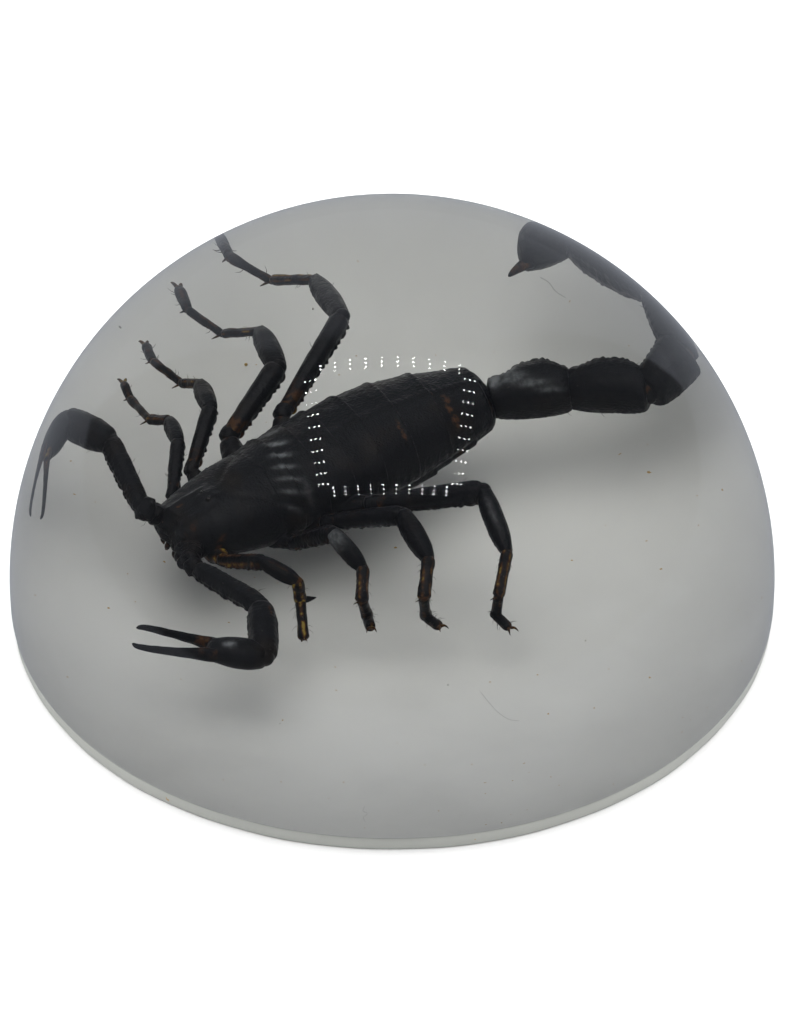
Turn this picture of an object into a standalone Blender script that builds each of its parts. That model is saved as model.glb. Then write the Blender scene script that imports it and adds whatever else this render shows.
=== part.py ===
"""A dried scorpion cast in a clear resin dome that sits on a white backing disc.

Metres, +Z up. The origin is the centre of the disc's underside. The specimen has a frame of its own:
its origin is the middle of the carapace's front edge, +X runs back along the body towards the tail,
and +Y is the specimen's right side, which is the far side from the front of the dome.
"""
import math

import bmesh
import bpy
from mathutils import Vector

MM = 0.001
SLIVER = 0.002 * MM

# Casting: a half ball of resin on a thin disc of the same width.
DOME_RADIUS = 40.0 * MM
BACKING_THICKNESS = 1.6 * MM
BACKING_BEVEL = 0.25 * MM
JOINT_GAP = 0.3 * MM
PARTING_HEIGHT = 5.2 * MM
DOME_SIDES = 48
DOME_ARC_STEPS = 10
DOME_SKIRT_STEPS = 1
DOME_CENTRE_HEIGHT = BACKING_THICKNESS + JOINT_GAP

# Specimen: where it lies in the casting, and the room that its pocket leaves round it.
HEAD_AT = Vector((-16.9, -2.4, 0.0)) * MM
BODY_HEADING = math.radians(28.0)
POCKET_CLEARANCE = 0.65 * MM
TRUNK_HEIGHT = 7.5 * MM
TAIL_HEIGHT = 8.0 * MM

# Trunk: carapace and seven back plates. Stations are read along the body from the front edge.
CARAPACE_LENGTH = 8.3 * MM
CARAPACE_FRONT_HALF_WIDTH = 2.3 * MM
CARAPACE_REAR_HALF_WIDTH = 4.1 * MM
TRUNK_LENGTH = 27.4 * MM
TRUNK_HALF_WIDTH = 4.7 * MM
TRUNK_END_HALF_WIDTH = 2.0 * MM
BACK_RISE = 3.5 * MM
BELLY_DROP = 2.5 * MM
TRUNK_BOW = 1.7 * MM
PLATE_ENDS = tuple(s * MM for s in (9.9, 12.0, 14.4, 17.0, 19.8, 22.8))
PLATE_STEP = 0.22 * MM
TRUNK_SIDES = 18
POCKET_TRUNK_SIDES = 10
POCKET_LIMB_SIDES = 7

# Jaws: two short lumps under the carapace's front edge.
JAW_HALF = 0.75 * MM

# Tail: (length, heading from the body's axis in degrees, half thickness) of its five segments.
TAIL_SEGMENTS = (
    (5.1 * MM, -12.0, 1.85 * MM),
    (5.9 * MM, -31.0, 1.72 * MM),
    (5.2 * MM, 36.0, 1.88 * MM),
    (4.9 * MM, 92.0, 1.80 * MM),
    (6.8 * MM, 126.5, 1.72 * MM),
)
TAIL_ROOT = Vector((27.2, 1.15, 0.0)) * MM
TAIL_WAIST = 0.68
TAIL_SIDES = 10
BULB_LENGTH = 4.0 * MM
BULB_HALF_WIDTH = 1.45 * MM
BULB_HEADING = 174.0
STING_LENGTH = 2.0 * MM
STING_HEADING = 200.0
STING_RADIUS = 0.45 * MM
STING_ROOT_SHARE = 0.68
STING_ROOT_OFFSET = 0.75 * MM

# Pincers: lengths are shared by both sides.
PINCER_LENGTHS = tuple(length * MM for length in (7.2, 5.4, 5.2, 6.5))
UPPER_ARM_HALF = 0.94 * MM
FOREARM_HALF = 1.25 * MM
HAND_HALF = 1.38 * MM
FINGER_RADIUS = 0.36 * MM
FINGER_ROOT_OFFSET = 0.45 * MM
FINGER_HOOK = 0.35 * MM
FINGER_ROOM = 1.3
PINCER_SIDES = 10

# Legs, front pair first: femur, patella, tibia, basitarsus and telotarsus.
LEG_LENGTHS = (
    (4.2, 3.0, 2.0, 4.1, 1.5),
    (4.7, 3.6, 2.7, 3.0, 1.8),
    (6.0, 4.4, 3.4, 2.8, 1.8),
    (8.3, 5.6, 3.8, 2.4, 1.7),
)
LEG_THICKNESS = (0.92, 0.96, 1.0, 1.08)
LEG_RADII = (0.66 * MM, 0.82 * MM, 0.45 * MM, 0.35 * MM, 0.29 * MM)
LEG_JOINT_SLIMNESS = 0.78
CLAW_LENGTH = 0.75 * MM
CLAW_RADIUS = 0.10 * MM
COXA_RADII = (0.95 * MM, 1.00 * MM, 1.20 * MM, 1.45 * MM)
SPUR_LENGTH = 1.0 * MM
SPUR_RADIUS = 0.16 * MM

RIGHT = 1.0
LEFT = -1.0

# Each leg: hip (along the body, out from its axis, height) in mm, then for each joint piece the
# heading out from the tailward axis and the pitch up from level, in degrees.
LEG_POSES = {
    RIGHT: (
        ((3.25, 3.9, 7.6), (52, 66, 102, 69, 64), (17, -16, -36, -27, -11)),
        ((5.9, 5.3, 7.6), (41, 67, 85, 90, 62), (25, -19, -45, -16, -21)),
        ((10.0, 6.7, 7.7), (24, 73, 114, 99, 61), (20, -16, -41, -14, -23)),
        ((13.8, 5.9, 8.8), (31, 79, 116, 124, 55), (14, -27, -42, 1, -46)),
    ),
    LEFT: (
        ((2.7, 4.3, 7.3), (73, 50, -6, 115), (28, -20, -79, -25)),
        ((8.6, 4.7, 7.0), (71, 73, 120, -45, 111), (40, -27, -24, -61, 9)),
        ((11.5, 4.5, 7.7), (44, 90, 124, -56, 83), (20, -16, -22, -69, 8)),
        ((14.9, 5.1, 8.4), (32, 96, 127, -94, 79), (13, -19, -22, -74, -5)),
    ),
}
BROKEN_TARSUS_LENGTH = 3.3 * MM

# Each pincer: the upper arm's root in mm, headings and pitches of arm, forearm, hand and fingers,
# and how far the outer and the inner finger open from the hand's axis, in degrees.
PINCER_POSES = {
    RIGHT: ((-0.9, 2.3, 9.0), (76, 99, -159, -138), (3, -16, 6, -7), (8.0, 8.0)),
    LEFT: ((-1.0, 5.5, 8.8), (76, 118, -139.5, -132), (4, -13, -1, -4), (12.0, 15.0)),
}


def clear_scene():
    """Remove every object, mesh and curve that the file opens with."""
    for obj in list(bpy.data.objects):
        bpy.data.objects.remove(obj, do_unlink=True)


def make_collection(name):
    """A collection under the scene's own."""
    collection = bpy.data.collections.new(name)
    bpy.context.scene.collection.children.link(collection)
    return collection


def make_material(name, colour, roughness, metallic=0.0, transmission=0.0, ior=1.5):
    """A Principled material with the piece's own colour."""
    material = bpy.data.materials.new(name)
    material.use_nodes = True
    shader = material.node_tree.nodes["Principled BSDF"]
    shader.inputs["Base Color"].default_value = (*colour, 1.0)
    shader.inputs["Roughness"].default_value = roughness
    shader.inputs["Metallic"].default_value = metallic
    shader.inputs["Transmission Weight"].default_value = transmission
    shader.inputs["IOR"].default_value = ior
    return material


def heading_vector(heading, pitch, side=RIGHT):
    """Unit vector in the specimen's frame, from a heading out from the tailward axis and a pitch."""
    level = math.cos(math.radians(pitch))
    return Vector((
        level * math.cos(math.radians(heading)),
        side * level * math.sin(math.radians(heading)),
        math.sin(math.radians(pitch)),
    ))


def walk(start, lengths, headings, pitches, side):
    """The joints of a jointed limb, from its root to its tip."""
    joints = [start]
    for length, heading, pitch in zip(lengths, headings, pitches):
        joints.append(joints[-1] + heading_vector(heading, pitch, side) * length)
    return joints


def add_mesh_object(name, bm, collection):
    """Put a finished bmesh in the scene as an object."""
    mesh = bpy.data.meshes.new(name)
    bm.to_mesh(mesh)
    bm.free()
    obj = bpy.data.objects.new(name, mesh)
    collection.objects.link(obj)
    return obj


def drawn_out(name, stations, sides, collection):
    """A sphere whose rings are drawn out along a path.

    Each station is (centre, forward, up, half width, rise, drop). The first and last are the ends.
    """
    bm = bmesh.new()
    rings = len(stations) - 1
    bmesh.ops.create_uvsphere(bm, u_segments=sides, v_segments=rings, radius=1.0)
    for vert in bm.verts:
        polar = math.acos(max(-1.0, min(1.0, vert.co.z)))
        centre, forward, up, half_width, rise, drop = stations[round(polar / math.pi * rings)]
        if math.hypot(vert.co.x, vert.co.y) < 1e-4:
            vert.co = centre
            continue
        angle = math.atan2(vert.co.y, vert.co.x)
        across = forward.cross(up).normalized()
        upright = across.cross(forward).normalized()
        height = rise if math.sin(angle) > 0.0 else drop
        vert.co = centre + across * (half_width * math.cos(angle)) + upright * (height * math.sin(angle))
    return add_mesh_object(name, bm, collection)


def straight_piece(name, start, end, up, profile, sides, collection):
    """A limb piece on a straight axis.

    The profile lists (share of the length, half width, rise, drop), its ends left out.
    """
    forward = (end - start).normalized()
    stations = [(start, forward, up, 0.0, 0.0, 0.0)]
    for share, half_width, rise, drop in profile:
        stations.append((start.lerp(end, share), forward, up, half_width, rise, drop))
    stations.append((end, forward, up, 0.0, 0.0, 0.0))
    return drawn_out(name, stations, sides, collection)


def tapered_tube(name, points, radii, resolution, collection):
    """A tube along a poly line whose radius changes from point to point, as a closed mesh."""
    curve = bpy.data.curves.new(name, "CURVE")
    curve.dimensions = "3D"
    curve.bevel_depth = 1.0
    curve.bevel_resolution = resolution
    curve.use_fill_caps = True
    spline = curve.splines.new("POLY")
    spline.points.add(len(points) - 1)
    for point, place, radius in zip(spline.points, points, radii):
        point.co = (*place, 1.0)
        point.radius = radius
    wire = bpy.data.objects.new(name + "_curve", curve)
    collection.objects.link(wire)
    graph = bpy.context.evaluated_depsgraph_get()
    mesh = bpy.data.meshes.new_from_object(wire.evaluated_get(graph))
    tube = bpy.data.objects.new(name, mesh)
    tube.matrix_world = wire.matrix_world.copy()
    collection.objects.link(tube)
    bpy.data.objects.remove(wire, do_unlink=True)
    bm = bmesh.new()
    bm.from_mesh(mesh)
    bmesh.ops.remove_doubles(bm, verts=bm.verts, dist=1e-7)
    bmesh.ops.recalc_face_normals(bm, faces=bm.faces)
    bm.to_mesh(mesh)
    bm.free()
    return tube


def is_fine(swell):
    """The specimen has no swell and is drawn in full. Its pocket has one, and has fewer faces."""
    return swell == 0.0


def trunk_axis(along):
    """Centre of the trunk at a distance from the front edge: it bows a little to the right."""
    share = max(0.0, along / TRUNK_LENGTH)
    return Vector((along, TRUNK_BOW * math.sin(share * math.pi / 2.0) ** 3, TRUNK_HEIGHT))


def trunk_half_width(along):
    """Half width of the trunk, as seen from above."""
    if along <= CARAPACE_LENGTH:
        share = math.sin(max(0.0, along / CARAPACE_LENGTH) * math.pi / 2.0)
        return CARAPACE_FRONT_HALF_WIDTH + (CARAPACE_REAR_HALF_WIDTH - CARAPACE_FRONT_HALF_WIDTH) * share
    share = (along - CARAPACE_LENGTH) / (TRUNK_LENGTH - CARAPACE_LENGTH)
    swell = CARAPACE_REAR_HALF_WIDTH
    swell += (TRUNK_HALF_WIDTH - CARAPACE_REAR_HALF_WIDTH) * math.sin(min(1.0, share * 2.5) * math.pi / 2.0)
    taper = max(0.0, (share - 0.4) / 0.6)
    return swell - (TRUNK_HALF_WIDTH - TRUNK_END_HALF_WIDTH) * taper ** 2.2


def trunk_depth(along):
    """Share of the full rise and drop: low at the front edge, full from plate two, low at the tail."""
    nose = 0.5 + 0.5 * math.sin(min(1.0, along / (13.0 * MM)) * math.pi / 2.0)
    tail = 1.0 - 0.5 * max(0.0, (along - 17.0 * MM) / (TRUNK_LENGTH - 17.0 * MM)) ** 1.6
    return min(nose, tail)


def trunk(swell, collection):
    """Carapace and back plates: each plate steps down to the next one's front edge."""
    fine = is_fine(swell)
    marks = [0.35 * MM, 1.6 * MM, 3.6 * MM, 6.0 * MM, CARAPACE_LENGTH]
    steps = [0.0, 0.0, 0.0, 0.0, PLATE_STEP]
    last_end = TRUNK_LENGTH - 0.9 * MM
    if fine:
        for end in (*PLATE_ENDS, last_end):
            marks += [marks[-1] + 0.25 * MM, end]
            steps += [0.0, PLATE_STEP]
    else:
        marks = [*marks[::2], *PLATE_ENDS[1::2], last_end]
        steps = [PLATE_STEP] * len(marks)
    tailward = Vector((1, 0, 0))
    up = Vector((0, 0, 1))
    stations = [(trunk_axis(-swell), tailward, up, 0.0, 0.0, 0.0)]
    for along, step in zip(marks, steps):
        half_width = trunk_half_width(along) + step + swell
        rise = BACK_RISE * trunk_depth(along) + step + swell
        drop = BELLY_DROP * trunk_depth(along) + swell
        stations.append((trunk_axis(along), tailward, up, half_width, rise, drop))
    stations.append((trunk_axis(TRUNK_LENGTH + swell), tailward, up, 0.0, 0.0, 0.0))
    return drawn_out("trunk", stations, TRUNK_SIDES if fine else POCKET_TRUNK_SIDES, collection)


def jaws(swell, collection):
    """The two short pincer jaws that stand out under the carapace's front edge."""
    pieces = []
    for side in (RIGHT, LEFT):
        start = Vector((2.0 * MM, side * 0.85 * MM, 7.3 * MM))
        end = Vector((-0.2 * MM - swell, side * 0.75 * MM, 6.9 * MM))
        half = JAW_HALF + swell
        profile = [(0.2, half, half, half), (0.65, half, half, half), (0.9, half * 0.7, half * 0.7, half * 0.7)]
        pieces.append(straight_piece("jaw", start, end, Vector((0, 0, 1)), profile, 6, collection))
    return pieces


def tail_joints():
    """The tail's joints, from its root on the trunk to the root of the bulb."""
    root = TAIL_ROOT + Vector((0.0, 0.0, TAIL_HEIGHT))
    lengths = [segment[0] for segment in TAIL_SEGMENTS]
    headings = [segment[1] for segment in TAIL_SEGMENTS]
    return walk(root, lengths, headings, [0.0] * len(lengths), RIGHT)


def tail(swell, collection):
    """Five waisted segments lying on their side, then the bulb and the sting.

    A segment's back faces the inside of the curl, and bulges more than its belly side.
    """
    pieces = []
    joints = tail_joints()
    for index, (start, end) in enumerate(zip(joints, joints[1:])):
        half = TAIL_SEGMENTS[index][2]
        forward = (end - start).normalized()
        back = Vector((0, 0, 1)).cross(forward)
        waist = half * TAIL_WAIST + swell
        profile = [
            (0.03, waist, waist, waist),
            (0.22, half * 0.92 + swell, half * 0.92 + swell, half * 0.86 + swell),
            (0.55, half + swell, half * 1.08 + swell, half * 0.92 + swell),
            (0.85, half * 0.96 + swell, half * 1.02 + swell, half * 0.90 + swell),
            (0.99, waist, waist, waist),
        ]
        sides = TAIL_SIDES
        if not is_fine(swell):
            full = half * 1.08 + swell
            profile = [(0.08, full, full, full), (0.92, full, full, full)]
            sides = POCKET_LIMB_SIDES
        overlap = forward * (0.5 * MM + swell)
        piece = straight_piece("tail_segment", start - overlap, end + overlap, back, profile, sides, collection)
        pieces.append(piece)
    root = joints[-1]
    bulb_end = root + heading_vector(BULB_HEADING, 0.0) * BULB_LENGTH
    half = BULB_HALF_WIDTH + swell
    profile = [
        (0.06, half * 0.55, half * 0.55, half * 0.55),
        (0.30, half * 0.90, half * 0.85, half * 0.95),
        (0.60, half, half * 0.85, half * 1.10),
        (0.86, half * 0.70, half * 0.55, half * 0.85),
    ]
    if not is_fine(swell):
        profile = [(0.15, half, half, half * 1.1), (0.85, half, half, half * 1.1)]
    forward = (bulb_end - root).normalized()
    back = Vector((0, 0, 1)).cross(forward)
    start, end = root - forward * swell, bulb_end + forward * swell
    pieces.append(straight_piece("bulb", start, end, back, profile, TAIL_SIDES, collection))
    sting = [root.lerp(bulb_end, STING_ROOT_SHARE) + back * STING_ROOT_OFFSET]
    radii = [STING_RADIUS * 1.4 + swell]
    bends = 3 if is_fine(swell) else 2
    for index in range(bends):
        share = (index + 1) / bends
        heading = BULB_HEADING + (STING_HEADING - BULB_HEADING) * share
        sting.append(sting[-1] + heading_vector(heading, 0.0) * (STING_LENGTH / bends))
        radii.append(STING_RADIUS * (1.3 - 1.1 * share) + swell)
    pieces.append(tapered_tube("sting", sting, radii, 1, collection))
    return pieces


def pincer(side, swell, collection):
    """One pincer arm: hip knuckles, upper arm, forearm, hand, and two fingers."""
    root, headings, pitches, spreads = PINCER_POSES[side]
    root = Vector((root[0], side * root[1], root[2])) * MM
    joints = walk(root, PINCER_LENGTHS, headings, pitches, side)
    up = Vector((0, 0, 1))
    pieces = []
    shoulder = Vector((1.8 * MM, side * 1.3 * MM, 7.2 * MM))
    knuckle = 1.15 * MM + swell
    path = [shoulder, shoulder.lerp(root, 0.55), root + (root - shoulder).normalized() * swell]
    resolution = 2 if is_fine(swell) else 1
    pieces.append(tapered_tube("knuckle", path, [knuckle * 1.05, knuckle, knuckle * 0.85], resolution, collection))
    sizes = (
        (UPPER_ARM_HALF, ((0.04, 0.72), (0.25, 0.95), (0.70, 1.0), (0.96, 0.85))),
        (FOREARM_HALF, ((0.04, 0.60), (0.30, 1.0), (0.68, 1.0), (0.95, 0.66))),
        (HAND_HALF, ((0.03, 0.62), (0.28, 1.0), (0.62, 0.98), (0.94, 0.55))),
    )
    for index, (half, shares) in enumerate(sizes):
        start, end = joints[index], joints[index + 1]
        overlap = (end - start).normalized() * (0.45 * MM + swell)
        profile = [(share, *[half * size + swell] * 3) for share, size in shares]
        sides = PINCER_SIDES
        if not is_fine(swell):
            profile = [(share, *[half * 1.04 + swell] * 3) for share in (0.1, 0.9)]
            sides = POCKET_LIMB_SIDES
        piece = straight_piece("pincer_arm", start - overlap, end + overlap, up, profile, sides, collection)
        pieces.append(piece)
    for spread in (spreads[0], -spreads[1]):
        pieces.append(finger(joints[3], headings[3], pitches[3], spread, side, swell, collection))
    return pieces


def finger(root, heading, pitch, spread, side, swell, collection):
    """A slender finger that bows out by spread degrees and hooks in at its tip."""
    outward = math.copysign(1.0, spread)
    across = heading_vector(heading + 90.0, 0.0, side) * outward
    along = heading_vector(heading, pitch, side)
    length = PINCER_LENGTHS[3]
    opening = length * math.sin(math.radians(abs(spread)))
    points = []
    radii = []
    fine = is_fine(swell)
    for share in (-0.22, 0.0, 0.3, 0.65, 0.92, 1.0) if fine else (-0.1, 0.5, 1.0 + swell / length):
        bow = FINGER_ROOT_OFFSET + opening * share * (1.15 - 0.45 * share)
        hook = FINGER_HOOK * max(0.0, (share - 0.9) / 0.1)
        points.append(root + along * (length * share) + across * (bow - hook))
        radii.append(FINGER_RADIUS * (1.25 - 0.6 * max(0.0, share) ** 1.3) + swell * FINGER_ROOM)
    return tapered_tube("finger", points, radii, 1, collection)


def leg_path(joints, radii_by_piece):
    """Points and radii along a leg: each piece is slim at its joints and fuller between them."""
    points = []
    radii = []
    for index, (start, end) in enumerate(zip(joints, joints[1:])):
        radius = radii_by_piece[index]
        slim = radius * LEG_JOINT_SLIMNESS
        if index < 3:
            points += [start.lerp(end, 0.07), start.lerp(end, 0.45), start.lerp(end, 0.88)]
            radii += [slim, radius, radius * 0.92]
        else:
            points += [start.lerp(end, 0.1), start.lerp(end, 0.88)]
            radii += [radius * 0.85, radius]
    points.append(joints[-1])
    radii.append(radii_by_piece[len(joints) - 2] * 0.8)
    return points, radii


def pocket_path(joints, radii_by_piece, swell):
    """Points and radii of a leg's pocket: one point a joint, and an end past the claws."""
    last = (joints[-1] - joints[-2]).normalized() * (CLAW_LENGTH + swell)
    points = [*joints[1:-1], joints[-1] + last]
    radii = [max(pair) for pair in zip(radii_by_piece, radii_by_piece[1:])]
    radii.append(radii_by_piece[-1] + 0.1 * MM)
    return points, [radius + swell for radius in radii[:len(points)]]


def leg(pair, side, swell, collection):
    """One leg with its hip, its shin spur and its pair of claws."""
    hip, headings, pitches = LEG_POSES[side][pair]
    hip = Vector((hip[0], side * hip[1], hip[2])) * MM
    lengths = [length * MM for length in LEG_LENGTHS[pair]]
    broken = len(headings) < len(lengths)
    if broken:
        lengths = [*lengths[:3], BROKEN_TARSUS_LENGTH]
    joints = walk(hip, lengths, headings, pitches, side)
    fine = is_fine(swell)
    thickness = [radius * LEG_THICKNESS[pair] for radius in LEG_RADII]
    points, radii = leg_path(joints, thickness) if fine else pocket_path(joints, thickness, swell)
    socket = Vector((hip.x * 0.72 + 1.2 * MM, side * 1.2 * MM, 6.4 * MM))
    points = [socket, hip - (joints[1] - hip).normalized() * 0.3 * MM, *points]
    radii = [COXA_RADII[pair] + swell, COXA_RADII[pair] * 0.85 + swell, *radii]
    pieces = [tapered_tube("leg", points, radii, 1, collection)]
    ankle = joints[3]
    behind = heading_vector(headings[2] - 75.0, -25.0, side)
    spur = [ankle - behind * 0.1 * MM, ankle + behind * (SPUR_LENGTH + swell)]
    pieces.append(tapered_tube("spur", spur, [SPUR_RADIUS * 1.3 + swell, SPUR_RADIUS * 0.3 + swell], 0, collection))
    if broken or not fine:
        return pieces
    for turn in (-32.0, 32.0):
        first = heading_vector(headings[4] + turn, pitches[4] + 12.0, side)
        second = heading_vector(headings[4] + turn * 0.4, pitches[4] - 48.0, side)
        tip = joints[-1]
        claw = [tip - first * 0.15 * MM, tip + first * CLAW_LENGTH * 0.55]
        claw.append(claw[-1] + second * CLAW_LENGTH * 0.5)
        pieces.append(tapered_tube("claw", claw, [CLAW_RADIUS * 1.5, CLAW_RADIUS, CLAW_RADIUS * 0.4], 0, collection))
    return pieces


def specimen_pieces(swell, collection):
    """Every form of the specimen, each still a body of its own, grown outwards by swell."""
    pieces = [trunk(swell, collection), *jaws(swell, collection), *tail(swell, collection)]
    for side in (RIGHT, LEFT):
        pieces += pincer(side, swell, collection)
        for pair in range(len(LEG_LENGTHS)):
            pieces += leg(pair, side, swell, collection)
    return pieces


def fuse(name, pieces, collection):
    """Join overlapping closed bodies in one body and drop the separate ones."""
    first, *others = pieces
    operands = bpy.data.collections.new(name + "_operands")
    bpy.context.scene.collection.children.link(operands)
    for piece in others:
        operands.objects.link(piece)
    union = first.modifiers.new("union", "BOOLEAN")
    union.operation = "UNION"
    union.operand_type = "COLLECTION"
    union.collection = operands
    union.solver = "MANIFOLD"
    graph = bpy.context.evaluated_depsgraph_get()
    mesh = bpy.data.meshes.new_from_object(first.evaluated_get(graph))
    mesh.name = name
    bm = bmesh.new()
    bm.from_mesh(mesh)
    bmesh.ops.dissolve_degenerate(bm, dist=SLIVER, edges=bm.edges)
    bm.to_mesh(mesh)
    bm.free()
    fused = bpy.data.objects.new(name, mesh)
    collection.objects.link(fused)
    for piece in pieces:
        bpy.data.objects.remove(piece, do_unlink=True)
    bpy.data.collections.remove(operands)
    return fused


def lay_in_casting(obj):
    """Turn and move an object from the specimen's frame to its place in the casting."""
    obj.location = HEAD_AT
    obj.rotation_euler = (0.0, 0.0, BODY_HEADING)


def turned(name, profile, collection):
    """A turned solid from an outline that runs down its outer side from the axis to the axis."""
    mesh = bpy.data.meshes.new(name)
    edges = [(index, index + 1) for index in range(len(profile) - 1)]
    mesh.from_pydata([(radius, 0.0, height) for radius, height in profile], edges, [])
    obj = bpy.data.objects.new(name, mesh)
    collection.objects.link(obj)
    screw = obj.modifiers.new("turn", "SCREW")
    screw.steps = DOME_SIDES
    screw.render_steps = DOME_SIDES
    screw.use_merge_vertices = True
    screw.merge_threshold = 1e-5
    return obj


def dome_point(elevation):
    """Radius and height of the ball's surface at an angle up from level."""
    radius = DOME_RADIUS * math.cos(elevation)
    return radius, DOME_CENTRE_HEIGHT + DOME_RADIUS * math.sin(elevation)


def dome_arc(low, high, steps):
    """Points down the ball's surface from a high angle to a low one."""
    return [dome_point(high + (low - high) * index / steps) for index in range(steps + 1)]


def body_faces(seed):
    """Every face that can be reached from one face across edges that just two faces share."""
    found = {seed}
    waiting = [seed]
    while waiting:
        for edge in waiting.pop().edges:
            if len(edge.link_faces) != 2:
                continue
            fresh = [face for face in edge.link_faces if face not in found]
            found.update(fresh)
            waiting += fresh
    return found


def keep_main_body(mesh):
    """Drop the slivers and the loose chips that a cut leaves at the pocket's thin edges."""
    bm = bmesh.new()
    bm.from_mesh(mesh)
    bmesh.ops.dissolve_degenerate(bm, dist=SLIVER, edges=bm.edges)
    left = set(bm.faces)
    bodies = []
    while left:
        bodies.append(body_faces(next(iter(left))))
        left -= bodies[-1]
    bodies.sort(key=len)
    for chip in bodies[:-1]:
        bmesh.ops.delete(bm, geom=list(chip), context="FACES")
    bm.to_mesh(mesh)
    bm.free()


def cut_pocket(blank, pocket, collection):
    """A half of the resin, as a finished mesh: its turned blank less the specimen's pocket."""
    cut = blank.modifiers.new("pocket", "BOOLEAN")
    cut.operation = "DIFFERENCE"
    cut.object = pocket
    cut.solver = "MANIFOLD"
    name = blank.name
    graph = bpy.context.evaluated_depsgraph_get()
    mesh = bpy.data.meshes.new_from_object(blank.evaluated_get(graph))
    bpy.data.objects.remove(blank, do_unlink=True)
    keep_main_body(mesh)
    half = bpy.data.objects.new(name, mesh)
    collection.objects.link(half)
    return half


def resin_upper(pocket, collection):
    """The dome above the parting plane."""
    floor = PARTING_HEIGHT + JOINT_GAP
    low = math.asin((floor - DOME_CENTRE_HEIGHT) / DOME_RADIUS)
    profile = dome_arc(low, math.pi / 2.0, DOME_ARC_STEPS)
    profile[0] = (0.0, profile[0][1])
    blank = turned("resin_upper", [*profile, (0.0, floor)], collection)
    return cut_pocket(blank, pocket, collection)


def resin_lower(pocket, collection):
    """The resin between the backing and the parting plane."""
    high = math.asin((PARTING_HEIGHT - DOME_CENTRE_HEIGHT) / DOME_RADIUS)
    profile = dome_arc(0.0, high, DOME_SKIRT_STEPS)
    outline = [(0.0, PARTING_HEIGHT), *profile, (0.0, DOME_CENTRE_HEIGHT)]
    blank = turned("resin_lower", outline, collection)
    return cut_pocket(blank, pocket, collection)


def backing(collection):
    """The white disc, its edges eased."""
    edge = BACKING_BEVEL
    outline = [
        (0.0, BACKING_THICKNESS),
        (DOME_RADIUS - edge, BACKING_THICKNESS),
        (DOME_RADIUS, BACKING_THICKNESS - edge),
        (DOME_RADIUS, edge),
        (DOME_RADIUS - edge, 0.0),
        (0.0, 0.0),
    ]
    return turned("backing", outline, collection)


def scorpion(collection):
    """The specimen, one fused body."""
    body = fuse("scorpion", specimen_pieces(0.0, collection), collection)
    lay_in_casting(body)
    return body


def specimen_pocket(collection):
    """The room that the specimen takes in the resin, as a cutter."""
    pocket = fuse("pocket", specimen_pieces(POCKET_CLEARANCE, collection), collection)
    lay_in_casting(pocket)
    pocket.hide_render = True
    pocket.display_type = "WIRE"
    return pocket


def shade(obj, angle):
    """Smooth shading that keeps edges sharper than an angle."""
    obj.data.shade_smooth()
    obj.data.set_sharp_from_angle(angle=math.radians(angle))


def main():
    clear_scene()
    parts = make_collection("scorpion_in_resin_dome")
    cutters = make_collection("cutters")
    resin = make_material("clear_resin", (0.97, 0.97, 0.95), 0.02, transmission=1.0, ior=1.5)
    white = make_material("white_backing", (0.80, 0.80, 0.78), 0.45)
    shell = make_material("dark_shell", (0.022, 0.019, 0.018), 0.38)
    body = scorpion(parts)
    body.data.materials.append(shell)
    shade(body, 40.0)
    pocket = specimen_pocket(cutters)
    for half in (resin_upper(pocket, parts), resin_lower(pocket, parts)):
        half.data.materials.append(resin)
    disc = backing(parts)
    disc.data.materials.append(white)


main()
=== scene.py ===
"""A dried scorpion cast in a clear resin dome on a white disc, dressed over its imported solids.

Lengths are in millimetres unless a name says otherwise, and become metres when a mesh is made. The
specimen has a frame of its own: the origin is the middle of the carapace's front edge, +X runs back
along the body towards the tail, and +Y is its right side, the far side from the front of the dome.
"""
import logging
import math
from dataclasses import dataclass, field
from enum import Enum
from typing import Iterable, Optional, Sequence

import bpy
import numpy as np
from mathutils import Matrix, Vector, noise


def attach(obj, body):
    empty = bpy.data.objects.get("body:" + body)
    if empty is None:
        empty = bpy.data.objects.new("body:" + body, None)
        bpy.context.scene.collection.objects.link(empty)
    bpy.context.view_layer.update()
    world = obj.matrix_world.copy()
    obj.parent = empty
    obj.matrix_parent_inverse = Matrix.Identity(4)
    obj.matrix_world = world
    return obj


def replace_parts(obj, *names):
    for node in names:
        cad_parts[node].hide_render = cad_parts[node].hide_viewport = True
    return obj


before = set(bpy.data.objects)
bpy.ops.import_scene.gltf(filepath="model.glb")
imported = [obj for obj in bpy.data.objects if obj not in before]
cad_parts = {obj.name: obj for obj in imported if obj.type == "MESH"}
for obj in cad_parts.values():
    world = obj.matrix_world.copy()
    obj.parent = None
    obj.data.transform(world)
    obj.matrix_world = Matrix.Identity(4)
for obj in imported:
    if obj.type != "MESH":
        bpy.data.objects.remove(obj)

LOG = logging.getLogger("scorpion_in_resin_dome")
BODY = "root"
MM = 0.001
PHOTO_WIDTH = 800
PHOTO_HEIGHT = 1024
UPWARD = np.array([0.0, 0.0, 1.0])
TAILWARD = np.array([1.0, 0.0, 0.0])

FULL_TURN = 2.0 * math.pi

Points = np.ndarray
Colour = tuple[float, float, float]
Tones = tuple[float, float, float]
Place = tuple[float, float, float]
Shape = Sequence[tuple[float, float, float, float]]
Socket = bpy.types.NodeSocket


class Side(Enum):
    """The specimen's two sides. The value is the sign of Y there."""

    RIGHT = 1.0
    LEFT = -1.0


def aim(heading: float, pitch: float, side: Side = Side.RIGHT) -> Points:
    """Unit vector in the specimen's frame.

    Args:
        heading: degrees out from the tailward axis, towards the side.
        pitch: degrees up from level.
        side: the side that the heading turns to.

    Returns:
        The vector.
    """
    level = math.cos(math.radians(pitch))
    turn = math.radians(heading)
    rise = math.sin(math.radians(pitch))
    return np.array([level * math.cos(turn), side.value * level * math.sin(turn), rise])


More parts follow.
